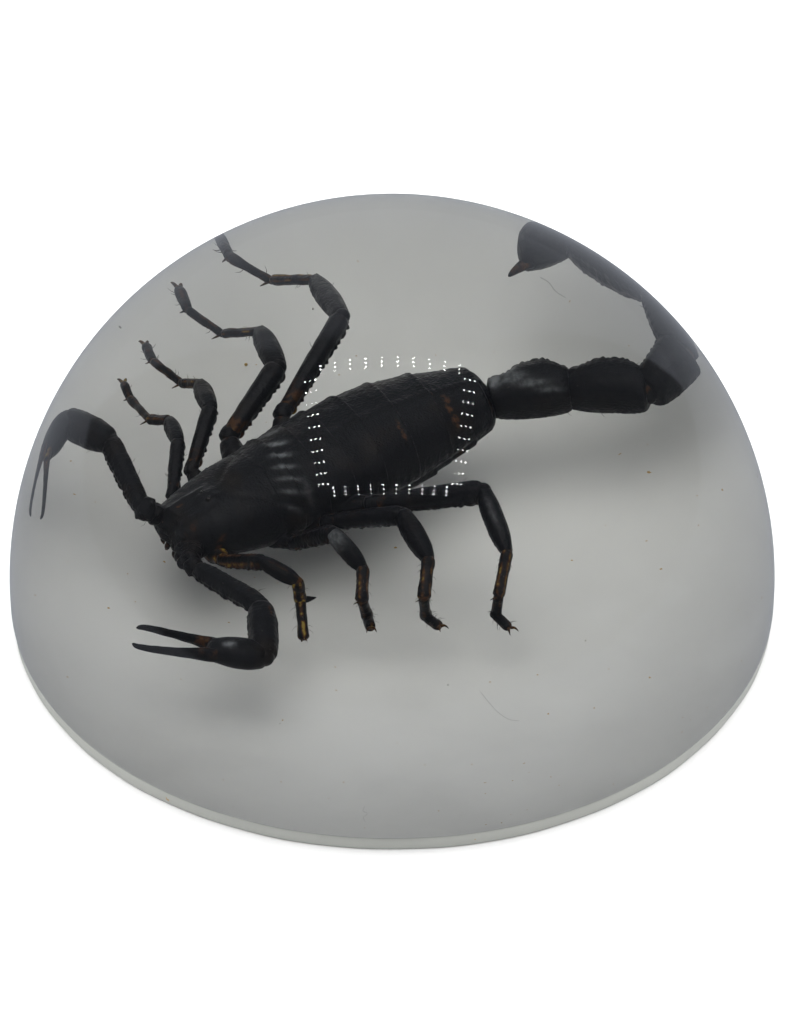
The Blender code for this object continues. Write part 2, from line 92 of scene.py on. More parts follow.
def mirrored(place: Sequence[float], side: Side) -> Points:
    """A place or a step that is given for the right side, on the side that is asked for."""
    return np.array([place[0], side.value * place[1], place[2]])


def walk(
    start: Points, lengths: Sequence[float], headings: Sequence[float], pitches: Sequence[float], side: Side
) -> list[Points]:
    """Joints of a jointed limb.

    Args:
        start: the limb's root.
        lengths: length of each piece.
        headings: heading of each piece.
        pitches: pitch of each piece.
        side: the side that the limb is on.

    Returns:
        The joints from the root to the tip.
    """
    joints = [np.asarray(start, float)]
    for length, heading, pitch in zip(lengths, headings, pitches):
        joints.append(joints[-1] + aim(heading, pitch, side) * length)
    return joints


def unit(vector: Points) -> Points:
    """The vector, or each row of an array of them, at length one."""
    return vector / np.maximum(np.linalg.norm(vector, axis=-1, keepdims=True), 1e-12)


def eased(at: Points, marks: Sequence[float], values: Sequence[float]) -> Points:
    """Smooth curve that passes given values and doesn't overshoot them.

    Args:
        at: where it is read.
        marks: rising places of the values.
        values: what it passes there.

    Returns:
        The curve's values.
    """
    spots = np.asarray(marks, float)
    heights = np.asarray(values, float)
    gaps = np.diff(spots)
    slopes = np.diff(heights) / gaps
    tangents = np.concatenate([slopes[:1], (slopes[:-1] + slopes[1:]) / 2.0, slopes[-1:]])
    tangents[1:-1][slopes[:-1] * slopes[1:] <= 0.0] = 0.0
    index = np.clip(np.searchsorted(spots, at, side="right") - 1, 0, len(gaps) - 1)
    t = np.clip((at - spots[index]) / gaps[index], 0.0, 1.0)
    left = (1.0 - t) ** 2 * (heights[index] * (1.0 + 2.0 * t) + tangents[index] * gaps[index] * t)
    right = t * t * (heights[index + 1] * (3.0 - 2.0 * t) - tangents[index + 1] * gaps[index] * (1.0 - t))
    return left + right


def hump(distance: Points, spread: float) -> Points:
    """A smooth hump, one at no distance and falling away over the spread."""
    return np.exp(-((distance / spread) ** 2))


def mound(x: Points, y: Points, reach: float, spread: float) -> Points:
    """A smooth mound, one at its middle, falling away over a reach along x and a spread along y."""
    return np.exp(-((x / reach) ** 2) - (y / spread) ** 2)


def rising(value: Points, over: float) -> Points:
    """How far a value has risen from nought over a length, from 0 to 1."""
    return np.clip(value / over, 0.0, 1.0)


def bulged(share: Points) -> Points:
    """Height of a quarter circle, as the share of the way across it goes from 0 to 1."""
    return np.sqrt(1.0 - (1.0 - share) ** 2)


def boxed(turn: Points, square: float) -> Points:
    """A sine or a cosine pulled towards a box's corners, where square is 2 for a plain oval."""
    return np.sign(turn) * np.abs(turn) ** (2.0 / square)


def turns(count: int) -> Points:
    """Evenly spaced angles all the way round, in radians."""
    return np.arange(count) * FULL_TURN / count


def turned_from(angles: Points, bearing: float) -> Points:
    """Angles, in radians, from a bearing in degrees, by the shorter way round."""
    return (angles - math.radians(bearing) + math.pi) % FULL_TURN - math.pi


def scaled(half: float, shape: Shape) -> Shape:
    """A profile in millimetres, from one in shares of a half width."""
    return [(share, half * width, half * rise, half * drop) for share, width, rise, drop in shape]


def rounded(radii: Sequence[tuple[float, float]]) -> Shape:
    """A round profile, from shares of the length and the radii there."""
    return [(share, radius, radius, radius) for share, radius in radii]


@dataclass(frozen=True)
class Grain:
    """Granules of a shell: how high they stand, how far apart they are, and how many places stay bare.

    Swell is how far the shell under them heaves and sinks, in waves a few granules long.
    """

    height: float
    spacing: float
    bare: float = 0.25
    swell: float = 0.03
    wave: float = 0.9
    reach: float = 0.46
    variety: float = 3.7

    def heights(self, points: Points) -> Points:
        """How far each point stands up.

        Args:
            points: points of the shell.

        Returns:
            One height a point.
        """
        found = np.empty(len(points))
        for index, place in enumerate((points / self.spacing).tolist()):
            distances, centres = noise.voronoi(place)
            worth = noise.noise(centres[0] * self.variety) * 0.5 + 0.5
            dome = max(0.0, 1.0 - (distances[0] / self.reach) ** 2)
            found[index] = dome * max(0.0, worth - self.bare) / (1.0 - self.bare)
        waves = [noise.noise(place) for place in (points / self.wave).tolist()]
        return found * self.height + np.array(waves) * self.swell


@dataclass(frozen=True)
class Keel:
    """A ridge along a limb at an angle round it, in degrees, cut in uneven beads where bead is a length."""

    angle: float
    height: float
    spread: float = 9.0
    bead: float = 0.0
    uneven: float = 0.6
    gap_height: float = 0.12
    lot_turn: float = 12.9898
    lot_scale: float = 43758.5453

    def heights(self, angles: Points, run: Points) -> Points:
        """How far the ridge stands up.

        Args:
            angles: angles round the limb, in radians.
            run: distances along it.

        Returns:
            One height a place.
        """
        ridge = self.height * hump(turned_from(angles, self.angle), math.radians(self.spread))
        if self.bead > 0.0:
            place = run / self.bead + 0.22 * np.sin(run * 2.1 / self.bead + self.angle)
            lot = np.sin((np.floor(place) + self.angle) * self.lot_turn) * self.lot_scale
            size = 1.0 - self.uneven * (lot - np.floor(lot))
            beads = size * np.abs(np.sin(math.pi * place)) ** 0.9
            ridge = ridge * (self.gap_height + (1.0 - self.gap_height) * beads)
        return ridge


@dataclass
class Skin:
    """A mesh in the making: its points, its faces, and each point's two tones, from 0 to 1.

    The first tone is how amber the shell is there, and the second how much painted silvery sheen it
    has, standing for the light reflected by a thin layer of air between it and the resin.
    """

    points: Points
    faces: Points
    tones: Points

    @staticmethod
    def grid(points: Points, amber: Points, film_sheen: Optional[Points] = None) -> "Skin":
        """Close a grid of rings into a skin with a pole at each end.

        Args:
            points: rings by sides by three.
            amber: rings by sides.
            film_sheen: rings by sides, the painted sheen, or nothing where there is none.

        Returns:
            The skin. A face with three corners has its last one twice.
        """
        rings, sides = amber.shape
        tones = np.stack([amber, np.zeros_like(amber) if film_sheen is None else film_sheen], axis=-1)
        body = points.reshape(-1, 3)
        first = points[0].mean(axis=0)
        last = points[-1].mean(axis=0)
        start = np.arange(rings - 1)[:, None] * sides
        here = start + np.arange(sides)[None, :]
        beside = start + (np.arange(sides)[None, :] + 1) % sides
        quads = np.stack([here, beside, beside + sides, here + sides], axis=-1).reshape(-1, 4)
        step = np.arange(sides)
        after = (step + 1) % sides
        nose = np.full(sides, len(body))
        end = nose + 1
        base = (rings - 1) * sides
        caps = np.concatenate([
            np.stack([after, step, nose, nose], axis=-1),
            np.stack([base + step, base + after, end, end], axis=-1),
        ])
        ends = np.stack([tones[0].mean(axis=0), tones[-1].mean(axis=0)])
        return Skin(
            np.concatenate([body, first[None], last[None]]),
            np.concatenate([quads, caps]),
            np.concatenate([tones.reshape(-1, 2), ends]),
        )

    @staticmethod
    def joined(skins: Iterable["Skin"]) -> "Skin":
        """Several skins as one.

        Args:
            skins: the skins to join.

        Returns:
            One skin with all their points and faces, in their order.
        """
        parts = list(skins)
        shifts = np.cumsum([0] + [len(part.points) for part in parts[:-1]])
        return Skin(
            np.concatenate([part.points for part in parts]),
            np.concatenate([part.faces + shift for part, shift in zip(parts, shifts)]),
            np.concatenate([part.tones for part in parts]),
        )


@dataclass(frozen=True)
class Patch:
    """A patch of a tone on a limb piece: its middle, and its reach along and round the piece."""

    share: float
    angle: float
    length: float
    spread: float
    amount: float

    def tone(self, share: Points, angles: Points) -> Points:
        """How strong the tone is at shares of the length and angles round the piece."""
        away = hump(turned_from(angles, self.angle), math.radians(self.spread))
        return self.amount * hump(share - self.share, self.length) * away


@dataclass(frozen=True)
class Sweep:
    """A closed limb piece drawn along a few points.

    The profile lists (share of the length, half width, rise, drop). Roundness is the share of the
    length that each blunt end takes. Square is 2 for an oval section and more for a boxy one. Amber
    is how amber the shell is at the root, from ember to the far end less ember, and at the tip, and
    stripes is how many amber lines run along the piece, if they do. Crest is how amber the ridges are,
    glows are patches where the shell is amber, and films are patches of painted silvery sheen where a
    thin layer of air lies on it.
    """

    path: Sequence[Points]
    profile: Shape
    up: Points = field(default_factory=lambda: UPWARD)
    keels: Sequence[Keel] = ()
    grain: Optional[Grain] = None
    amber: Tones = (0.0, 0.0, 0.0)
    ember: float = 0.12
    stripes: int = 0
    crest: float = 0.0
    glows: Sequence[Patch] = ()
    film_sheens: Sequence[Patch] = ()
    roundness: float = 0.07
    square: float = 2.0
    rings: int = 40
    sides: int = 24
    frame_step: float = 0.004
    end_crowding: float = 0.45
    end_margin: float = 0.002
    relief_fade: float = 0.06
    crest_height: float = 0.09

    @property
    def chords(self) -> list[float]:
        """Lengths of the path's chords."""
        return [float(np.linalg.norm(end - start)) for start, end in zip(self.path, self.path[1:])]

    @property
    def length(self) -> float:
        """Length of the path's chords together."""
        return float(sum(self.chords))

    def centre(self, share: Points) -> Points:
        """Points of the centreline at shares of its length.

        Args:
            share: shares of the length.

        Returns:
            One point a share.
        """
        marks = np.concatenate([[0.0], np.cumsum(self.chords)]) / self.length
        places = np.asarray(self.path, float)
        return np.stack([eased(share, marks, places[:, axis]) for axis in range(3)], axis=-1)

    def frames(self, share: Points) -> tuple[Points, Points, Points]:
        """Directions forward, across and upright at shares of the length.

        Args:
            share: shares of the length.

        Returns:
            Three arrays of unit vectors.
        """
        after, before = (np.clip(share + step, 0.0, 1.0) for step in (self.frame_step, -self.frame_step))
        forward = unit(self.centre(after) - self.centre(before))
        across = unit(np.cross(forward, self.up))
        return forward, across, unit(np.cross(across, forward))

    def section(self, share: Points, angles: Points) -> Points:
        """Offsets of the plain skin from its centreline.

        Args:
            share: shares of the length, one a ring.
            angles: angles round each ring.

        Returns:
            Rings by sides by two: across and upright.
        """
        table = np.asarray(self.profile, float)
        width, rise, drop = (eased(share, table[:, 0], table[:, column]) for column in (1, 2, 3))
        blunt = bulged(rising(share, self.roundness)) * bulged(rising(1.0 - share, self.roundness))
        sine = np.sin(angles)
        height = np.where(sine[None, :] > 0.0, rise[:, None], drop[:, None])
        x = width[:, None] * boxed(np.cos(angles), self.square)[None, :] * blunt[:, None]
        y = height * boxed(sine, self.square)[None, :] * blunt[:, None]
        return np.stack([x, y], axis=-1)

    def skin(self) -> Skin:
        """The piece's skin, with its keels and granules.

        Returns:
            The skin.
        """
        steps = np.linspace(0.0, 1.0, self.rings)
        crowded = 0.5 - 0.5 * np.cos(math.pi * steps)
        share = (1.0 - self.end_crowding) * steps + self.end_crowding * crowded
        share = np.clip(share, self.end_margin, 1.0 - self.end_margin)
        angles = turns(self.sides)
        offsets = self.section(share, angles)
        run = share * self.length
        fade = rising(np.minimum(share, 1.0 - share), self.relief_fade)
        lift = np.zeros(offsets.shape[:2])
        for keel in self.keels:
            lift += keel.heights(angles[None, :], run[:, None]) * fade[:, None]
        crests = self.crest * rising(lift, self.crest_height)
        outward = unit(offsets)
        offsets = offsets + outward * lift[..., None]
        _, across, upright = self.frames(share)
        centre = self.centre(share)
        if self.grain:
            plain = self.placed(centre, across, upright, offsets)
            bumps = self.grain.heights(plain.reshape(-1, 3)).reshape(lift.shape)
            offsets = offsets + outward * (bumps * fade[:, None])[..., None]
        place = (share[:, None], angles[None, :])
        glow = sum((patch.tone(*place) for patch in self.glows), crests)
        # The painted silvery sheen, which stands for light reflected by thin layers of air on the shell.
        film_sheen = sum((patch.tone(*place) for patch in self.film_sheens), np.zeros_like(lift))
        amber = np.clip(self.ambers(share, angles, run) + glow, 0.0, 1.0)
        return Skin.grid(self.placed(centre, across, upright, offsets), amber, film_sheen)

    def ambers(self, share: Points, angles: Points, run: Points) -> Points:
        """How amber the plain shell is, in wandering lines where the piece has stripes.

        Args:
            share: shares of the length, one a ring.
            angles: angles round each ring.
            run: the rings' distances along the piece.

        Returns:
            Values, rings by sides.
        """
        root, middle, tip = self.amber
        tone = eased(share, (0.0, self.ember, 1.0 - self.ember, 1.0), (root, middle, middle, tip))
        amber = np.repeat(tone[:, None], self.sides, axis=1)
        if self.stripes:
            wander = np.sin(run * 1.3)[:, None] * 0.5
            line = 0.5 + 0.5 * np.cos(self.stripes * angles[None, :] + wander)
            amber = amber * (0.15 + 1.1 * line ** 2)
        return amber

    @staticmethod
    def placed(centre: Points, across: Points, upright: Points, offsets: Points) -> Points:
        """Ring points from a centreline and the offsets from it.

        Args:
            centre: the centreline's points, one a ring.
            across: the direction across at each ring.
            upright: the direction upright at each ring.
            offsets: rings by sides by two: across and upright.

        Returns:
            Rings by sides by three.
        """
        return (
            centre[:, None, :]
            + across[:, None, :] * offsets[..., :1]
            + upright[:, None, :] * offsets[..., 1:]
        )

    def surface(self, share: float, angle: float) -> tuple[Points, Points, Points]:
        """One place on the plain skin.

        Args:
            share: share of the length.
            angle: degrees round the piece.

        Returns:
            The point, the direction outwards and the direction forward there.
        """
        where = np.array([share])
        offset = self.section(where, np.array([math.radians(angle)]))[0, 0]
        forward, across, upright = (vectors[0] for vectors in self.frames(where))
        shift = across * offset[0] + upright * offset[1]
        return self.centre(where)[0] + shift, unit(shift), forward

    @classmethod
    def ball(cls, centre: Points, ahead: Points, radius: float, **looks: object) -> "Sweep":
        """A ball, or a longer or flatter one where ahead isn't as long as its radius.

        Args:
            centre: its centre.
            ahead: the way from its centre to its front end.
            radius: its radius across that way.
            looks: the sweep's other fields.

        Returns:
            The ball.
        """
        profile = rounded(((0.0, radius), (1.0, radius)))
        return cls([centre - ahead, centre + ahead], profile, roundness=0.5, **looks)


@dataclass(frozen=True)
class Placing:
    """Where the specimen lies in the casting, and how it is turned there."""

    head_x: float = -16.9
    head_y: float = -2.4
    heading: float = 28.0

    def metres(self, points: Points) -> Points:
        """Points of the specimen's frame in the row frame, in metres.

        Args:
            points: points in the specimen's frame, in millimetres.

        Returns:
            The same points, moved.
        """
        cosine = math.cos(math.radians(self.heading))
        sine = math.sin(math.radians(self.heading))
        x = self.head_x + points[:, 0] * cosine - points[:, 1] * sine
        y = self.head_y + points[:, 0] * sine + points[:, 1] * cosine
        return np.stack([x, y, points[:, 2]], axis=-1) * MM


PLACING = Placing()


def add_piece(
    name: str, skin: Skin, material: bpy.types.Material, specimen: bool
) -> bpy.types.Object:
    """Make a skin a smooth mesh object that rides on the part.

    Args:
        name: the piece's name.
        skin: its skin.
        material: its finish.
        specimen: whether the skin is in the specimen's frame, and not the row frame.

    Returns:
        The object.
    """
    places = PLACING.metres(skin.points) if specimen else skin.points * MM
    faces = [tuple(face[:3]) if face[2] == face[3] else tuple(face) for face in skin.faces.tolist()]
    mesh = bpy.data.meshes.new(name)
    mesh.from_pydata(places.tolist(), [], faces)
    mesh.update()
    mesh.shade_smooth()
    # The second tone is the painted silvery sheen over thin layers of air.
    for column, label in enumerate(("amber", "film_sheen")):
        tone = mesh.attributes.new(label, "FLOAT", "POINT")
        tone.data.foreach_set("value", skin.tones[:, column].astype(np.float32))
    mesh.materials.append(material)
    piece = bpy.data.objects.new(name, mesh)
    bpy.context.scene.collection.objects.link(piece)
    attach(piece, BODY)
    LOG.info("%s: %d faces", name, len(faces))
    return piece


class Graph:
    """A node tree, with short ways to work out values in it."""

    def __init__(self, tree: bpy.types.NodeTree) -> None:
        """Take hold of a node tree."""
        self.nodes = tree.nodes
        self.links = tree.links

    def ramp(self, value: Socket, low: float, high: float, to: tuple[float, float] = (0.0, 1.0)) -> Socket:
        """A value's range from low to high, spread over another one and clamped.

        Args:
            value: what is spread.
            low: the range's low end.
            high: the range's high end.
            to: what the two ends become.

        Returns:
            The spread value.
        """
        spread = self.nodes.new("ShaderNodeMapRange")
        spread.interpolation_type = "SMOOTHSTEP"
        for socket, number in zip(("From Min", "From Max", "To Min", "To Max"), (low, high, *to)):
            spread.inputs[socket].default_value = number
        self.links.new(value, spread.inputs["Value"])
        return spread.outputs["Result"]

    def math(self, kind: str, first: Socket, second: object = 0.0) -> Socket:
        """Two values put together, the second a socket or a number.

        Args:
            kind: the operation's name.
            first: the first value.
            second: the second value.

        Returns:
            The result.
        """
        step = self.nodes.new("ShaderNodeMath")
        step.operation = kind
        self.links.new(first, step.inputs[0])
        if isinstance(second, Socket):
            self.links.new(second, step.inputs[1])
        else:
            step.inputs[1].default_value = second
        return step.outputs[0]

    def between(self, share: Socket, first: object, second: object) -> Socket:
        """Two values mixed by a share, each a socket or a number.

        Args:
            share: 0 for the first value, 1 for the second.
            first: the first value.
            second: the second value.

        Returns:
            The mixed value.
        """
        blend = self.nodes.new("ShaderNodeMix")
        blend.data_type = "FLOAT"
        self.links.new(share, blend.inputs["Factor"])
        for name, value in zip(("A", "B"), (first, second)):
            if isinstance(value, Socket):
                self.links.new(value, blend.inputs[name])
            else:
                blend.inputs[name].default_value = value
        return blend.outputs["Result"]

    def mix(self, share: Socket, first: object, second: object) -> Socket:
        """Two colours mixed by a share, each a socket or a colour.

        Args:
            share: 0 for the first colour, 1 for the second.
            first: the first colour.
            second: the second colour.

        Returns:
            The mixed colour.
        """
        blend = self.nodes.new("ShaderNodeMix")
        blend.data_type = "RGBA"
        self.links.new(share, blend.inputs["Factor"])
        sockets = [socket for socket in blend.inputs if socket.type == "RGBA"]
        for socket, colour in zip(sockets, (first, second)):
            if isinstance(colour, Socket):
                self.links.new(colour, socket)
            else:
                socket.default_value = (*colour, 1.0)
        return next(socket for socket in blend.outputs if socket.type == "RGBA")


class Sheet(Graph):
    """A Principled material and the nodes that feed it."""

    def __init__(self, name: str) -> None:
        """Start a material with a name.

        Args:
            name: the material's name.
        """
        self.material = bpy.data.materials.new(name)
        self.material.use_nodes = True
        super().__init__(self.material.node_tree)
        self.shader = self.nodes["Principled BSDF"]

    def set(self, **values: object) -> None:
        """Set the shader's sockets, an underscore in a name standing for a space."""
        for name, value in values.items():
            self.shader.inputs[name.replace("_", " ")].default_value = value

    def noise(self, scale: float, detail: float = 4.0, roughness: float = 0.55) -> Socket:
        """A cloudy value from 0 to 1 over the object's own coordinates, in features a metre.

        Args:
            scale: features a metre.
            detail: how many finer layers lie on the first.
            roughness: how strong the finer layers are.

        Returns:
            The value.
        """
        place = self.nodes.new("ShaderNodeTexCoord").outputs["Object"]
        cloud = self.nodes.new("ShaderNodeTexNoise")
        cloud.inputs["Scale"].default_value = scale
        cloud.inputs["Detail"].default_value = detail
        cloud.inputs["Roughness"].default_value = roughness
        self.links.new(place, cloud.inputs["Vector"])
        return cloud.outputs["Fac"]

    def cells(self, scale: float) -> Socket:
        """Distance to the nearest of many scattered points, for fine granules.

        Args:
            scale: points a metre.

        Returns:
            The distance.
        """
        place = self.nodes.new("ShaderNodeTexCoord").outputs["Object"]
        cell = self.nodes.new("ShaderNodeTexVoronoi")
        cell.inputs["Scale"].default_value = scale
        self.links.new(place, cell.inputs["Vector"])
        return cell.outputs["Distance"]

    def attribute(self, name: str) -> Socket:
        """A value kept on the mesh's points.

        Args:
            name: the attribute's name.

        Returns:
            The value.
        """
        stored = self.nodes.new("ShaderNodeAttribute")
        stored.attribute_name = name
        return stored.outputs["Fac"]

    def feed(self, socket: str, value: Socket) -> None:
        """Link a value to one of the shader's sockets."""
        self.links.new(value, self.shader.inputs[socket])

    def bump(self, height: Socket, depth_mm: float, strength: float = 1.0) -> None:
        """Feed a height to the shader's normal.

        Args:
            height: the height, from 0 to 1.
            depth_mm: how deep that is, in millimetres.
            strength: how much of the relief shows.
        """
        relief = self.nodes.new("ShaderNodeBump")
        relief.inputs["Strength"].default_value = strength
        relief.inputs["Distance"].default_value = depth_mm * MM
        self.links.new(height, relief.inputs["Height"])
        self.feed("Normal", relief.outputs["Normal"])


@dataclass(frozen=True)
class ShellFinish:
    """Dry near-black shell, orange and straw-coloured where it is thin, with a painted silvery sheen where air
    lies on it.
    """

    name: str = "dark_shell"
    dark: Colour = (0.0046, 0.0050, 0.0068)
    brown: Colour = (0.0080, 0.0060, 0.0054)
    orange: Colour = (0.056, 0.024, 0.009)
    straw: Colour = (0.210, 0.145, 0.028)
    # Painted sheen: the grey that stands for light reflected by a thin layer of air on the shell.
    sheen_grey: Colour = (0.150, 0.158, 0.165)
    roughness: tuple[float, float] = (0.30, 0.55)

    def material(self) -> bpy.types.Material:
        """Make the finish.

        Returns:
            The material.
        """
        sheet = Sheet(self.name)
        fine = sheet.noise(2600.0, 3.0)
        blotch = sheet.noise(1100.0, 2.0)
        shell = sheet.mix(sheet.ramp(sheet.noise(300.0), 0.50, 0.75), self.dark, self.brown)
        mottled = sheet.ramp(fine, 0.30, 0.62, (0.45, 1.2))
        patchy = sheet.math("MULTIPLY", mottled, sheet.ramp(blotch, 0.32, 0.60, (0.35, 1.15)))
        thin = sheet.math("MULTIPLY", sheet.attribute("amber"), patchy)
        warm = sheet.mix(sheet.ramp(thin, 0.10, 0.60), shell, self.orange)
        tinted = sheet.mix(sheet.ramp(thin, 0.55, 1.00), warm, self.straw)
        # Painted silvery sheen, broken up by noise, where the mesh marks a layer of air on the shell.
        broken = sheet.ramp(sheet.noise(2400.0, 3.0), 0.30, 0.70, (0.65, 1.15))
        sheen_amount = sheet.math("MULTIPLY", sheet.attribute("film_sheen"), broken)
        sheet.feed("Base Color", sheet.mix(sheet.ramp(sheen_amount, 0.0, 1.0), tinted, self.sheen_grey))
        sheet.feed("Roughness", sheet.ramp(sheet.noise(1500.0), 0.3, 0.7, self.roughness))
        sheet.bump(sheet.math("ADD", sheet.cells(6000.0), fine), 0.036, 0.8)
        sheet.set(IOR=1.5, Specular_IOR_Level=0.09)
        return sheet.material


@dataclass(frozen=True)
class EyeFinish:
    """Shiny black eyes."""

    name: str = "black_eye"
    colour: Colour = (0.006, 0.006, 0.007)
    warmer: Colour = (0.012, 0.010, 0.010)

    def material(self) -> bpy.types.Material:
        """Make the finish.

        Returns:
            The material.
        """
        sheet = Sheet(self.name)
        sheet.feed("Base Color", sheet.mix(sheet.noise(900.0), self.colour, self.warmer))
        sheet.set(Roughness=0.22, IOR=1.5, Specular_IOR_Level=0.25)
        return sheet.material


@dataclass(frozen=True)
class ResinFinish:
    """Polished clear casting resin with the faintest warm tint."""

    name: str = "clear_resin"
    ior: float = 1.5
    absorbed: Colour = (0.972, 0.984, 0.880)
    depth: float = 4.5

    def material(self) -> bpy.types.Material:
        """Make the finish.

        Returns:
            The material.
        """
        sheet = Sheet(self.name)
        sheet.set(Base_Color=(1.0, 1.0, 1.0, 1.0), Roughness=0.0, IOR=self.ior, Transmission_Weight=1.0)
        inside = sheet.nodes.new("ShaderNodeVolumeAbsorption")
        inside.inputs["Color"].default_value = (*self.absorbed, 1.0)
        inside.inputs["Density"].default_value = self.depth
        sheet.links.new(inside.outputs["Volume"], sheet.nodes["Material Output"].inputs["Volume"])
        return sheet.material


@dataclass(frozen=True)
class BackingFinish:
    """Satin white sheet, very slightly uneven in tone."""

    name: str = "white_backing"
    white: Colour = (0.68, 0.68, 0.662)
    shade: Colour = (0.62, 0.62, 0.603)
    stain: Colour = (0.42, 0.27, 0.10)
    # Painted shade on the disc's side.
    edge: Colour = (0.45, 0.46, 0.43)

    def material(self) -> bpy.types.Material:
        """Make the finish. The edge is painted darker, as painted shade on the disc's side, and the mesh says
        where it is.

        Returns:
            The material.
        """
        sheet = Sheet(self.name)
        face = sheet.mix(sheet.ramp(sheet.noise(60.0), 0.35, 0.7), self.white, self.shade)
        # The painted shade goes on the disc's side, where the mesh marks it.
        tone = sheet.mix(sheet.attribute("amber"), face, self.edge)
        spots = sheet.ramp(sheet.noise(1300.0, 2.0), 0.735, 0.76)
        sheet.feed("Base Color", sheet.mix(spots, tone, self.stain))
        sheet.feed("Roughness", sheet.ramp(sheet.noise(700.0), 0.3, 0.7, (0.42, 0.55)))
        sheet.bump(sheet.noise(5000.0), 0.01, 0.4)
        return sheet.material


@dataclass(frozen=True)
class SpeckFinish:
    """Dust and lint caught in the resin."""

    name: str = "trapped_dust"
    dark: Colour = (0.34, 0.335, 0.32)
    warm: Colour = (0.40, 0.27, 0.09)

    def material(self) -> bpy.types.Material:
        """Make the finish.

        Returns:
            The material.
        """
        sheet = Sheet(self.name)
        sheet.feed("Base Color", sheet.mix(sheet.attribute("amber"), self.dark, self.warm))
        sheet.feed("Roughness", sheet.ramp(sheet.noise(4000.0), 0.3, 0.7, (0.6, 0.9)))
        return sheet.material


@dataclass
class Bristles:
    """Fine hairs that stand on the shell, gathered in one mesh."""

    seed: int = 11
    radius: float = 0.019
    bend: float = 0.35
    tip_share: float = 0.35
    places: tuple[float, float] = (0.12, 0.95)
    leans: tuple[float, float] = (0.3, 0.9)
    lengths: tuple[float, float] = (0.6, 1.35)
    skins: list[Skin] = field(default_factory=list)

    def __post_init__(self) -> None:
        """Seed the hairs' own random numbers."""
        self.random = np.random.default_rng(self.seed)

    def hair(self, root: Points, direction: Points, sag: Points, length: float) -> None:
        """Add one curved hair.

        Args:
            root: where it stands.
            direction: its first direction.
            sag: what its tip leans towards.
            length: its length.
        """
        tip = root + unit(direction + self.bend * unit(sag)) * length
        path = [root - direction * 0.1, root + direction * length * 0.45, tip]
        up = UPWARD if abs(direction[2]) < 0.8 else TAILWARD
        profile = rounded(((0.0, self.radius), (1.0, self.radius * self.tip_share)))
        sweep = Sweep(path, profile, up=up, amber=(0.35, 0.35, 0.5), roundness=0.03, rings=5, sides=4)
        self.skins.append(sweep.skin())

    def over(self, piece: Sweep, count: int, length: float) -> None:
        """Scatter hairs over a piece.

        Args:
            piece: what they stand on.
            count: how many.
            length: their middling length.
        """
        for _ in range(count):
            share = self.random.uniform(*self.places)
            angle = self.random.uniform(0.0, 360.0)
            point, outward, forward = piece.surface(share, angle)
            direction = unit(outward + forward * self.random.uniform(*self.leans))
            self.hair(point, direction, forward, length * self.random.uniform(*self.lengths))


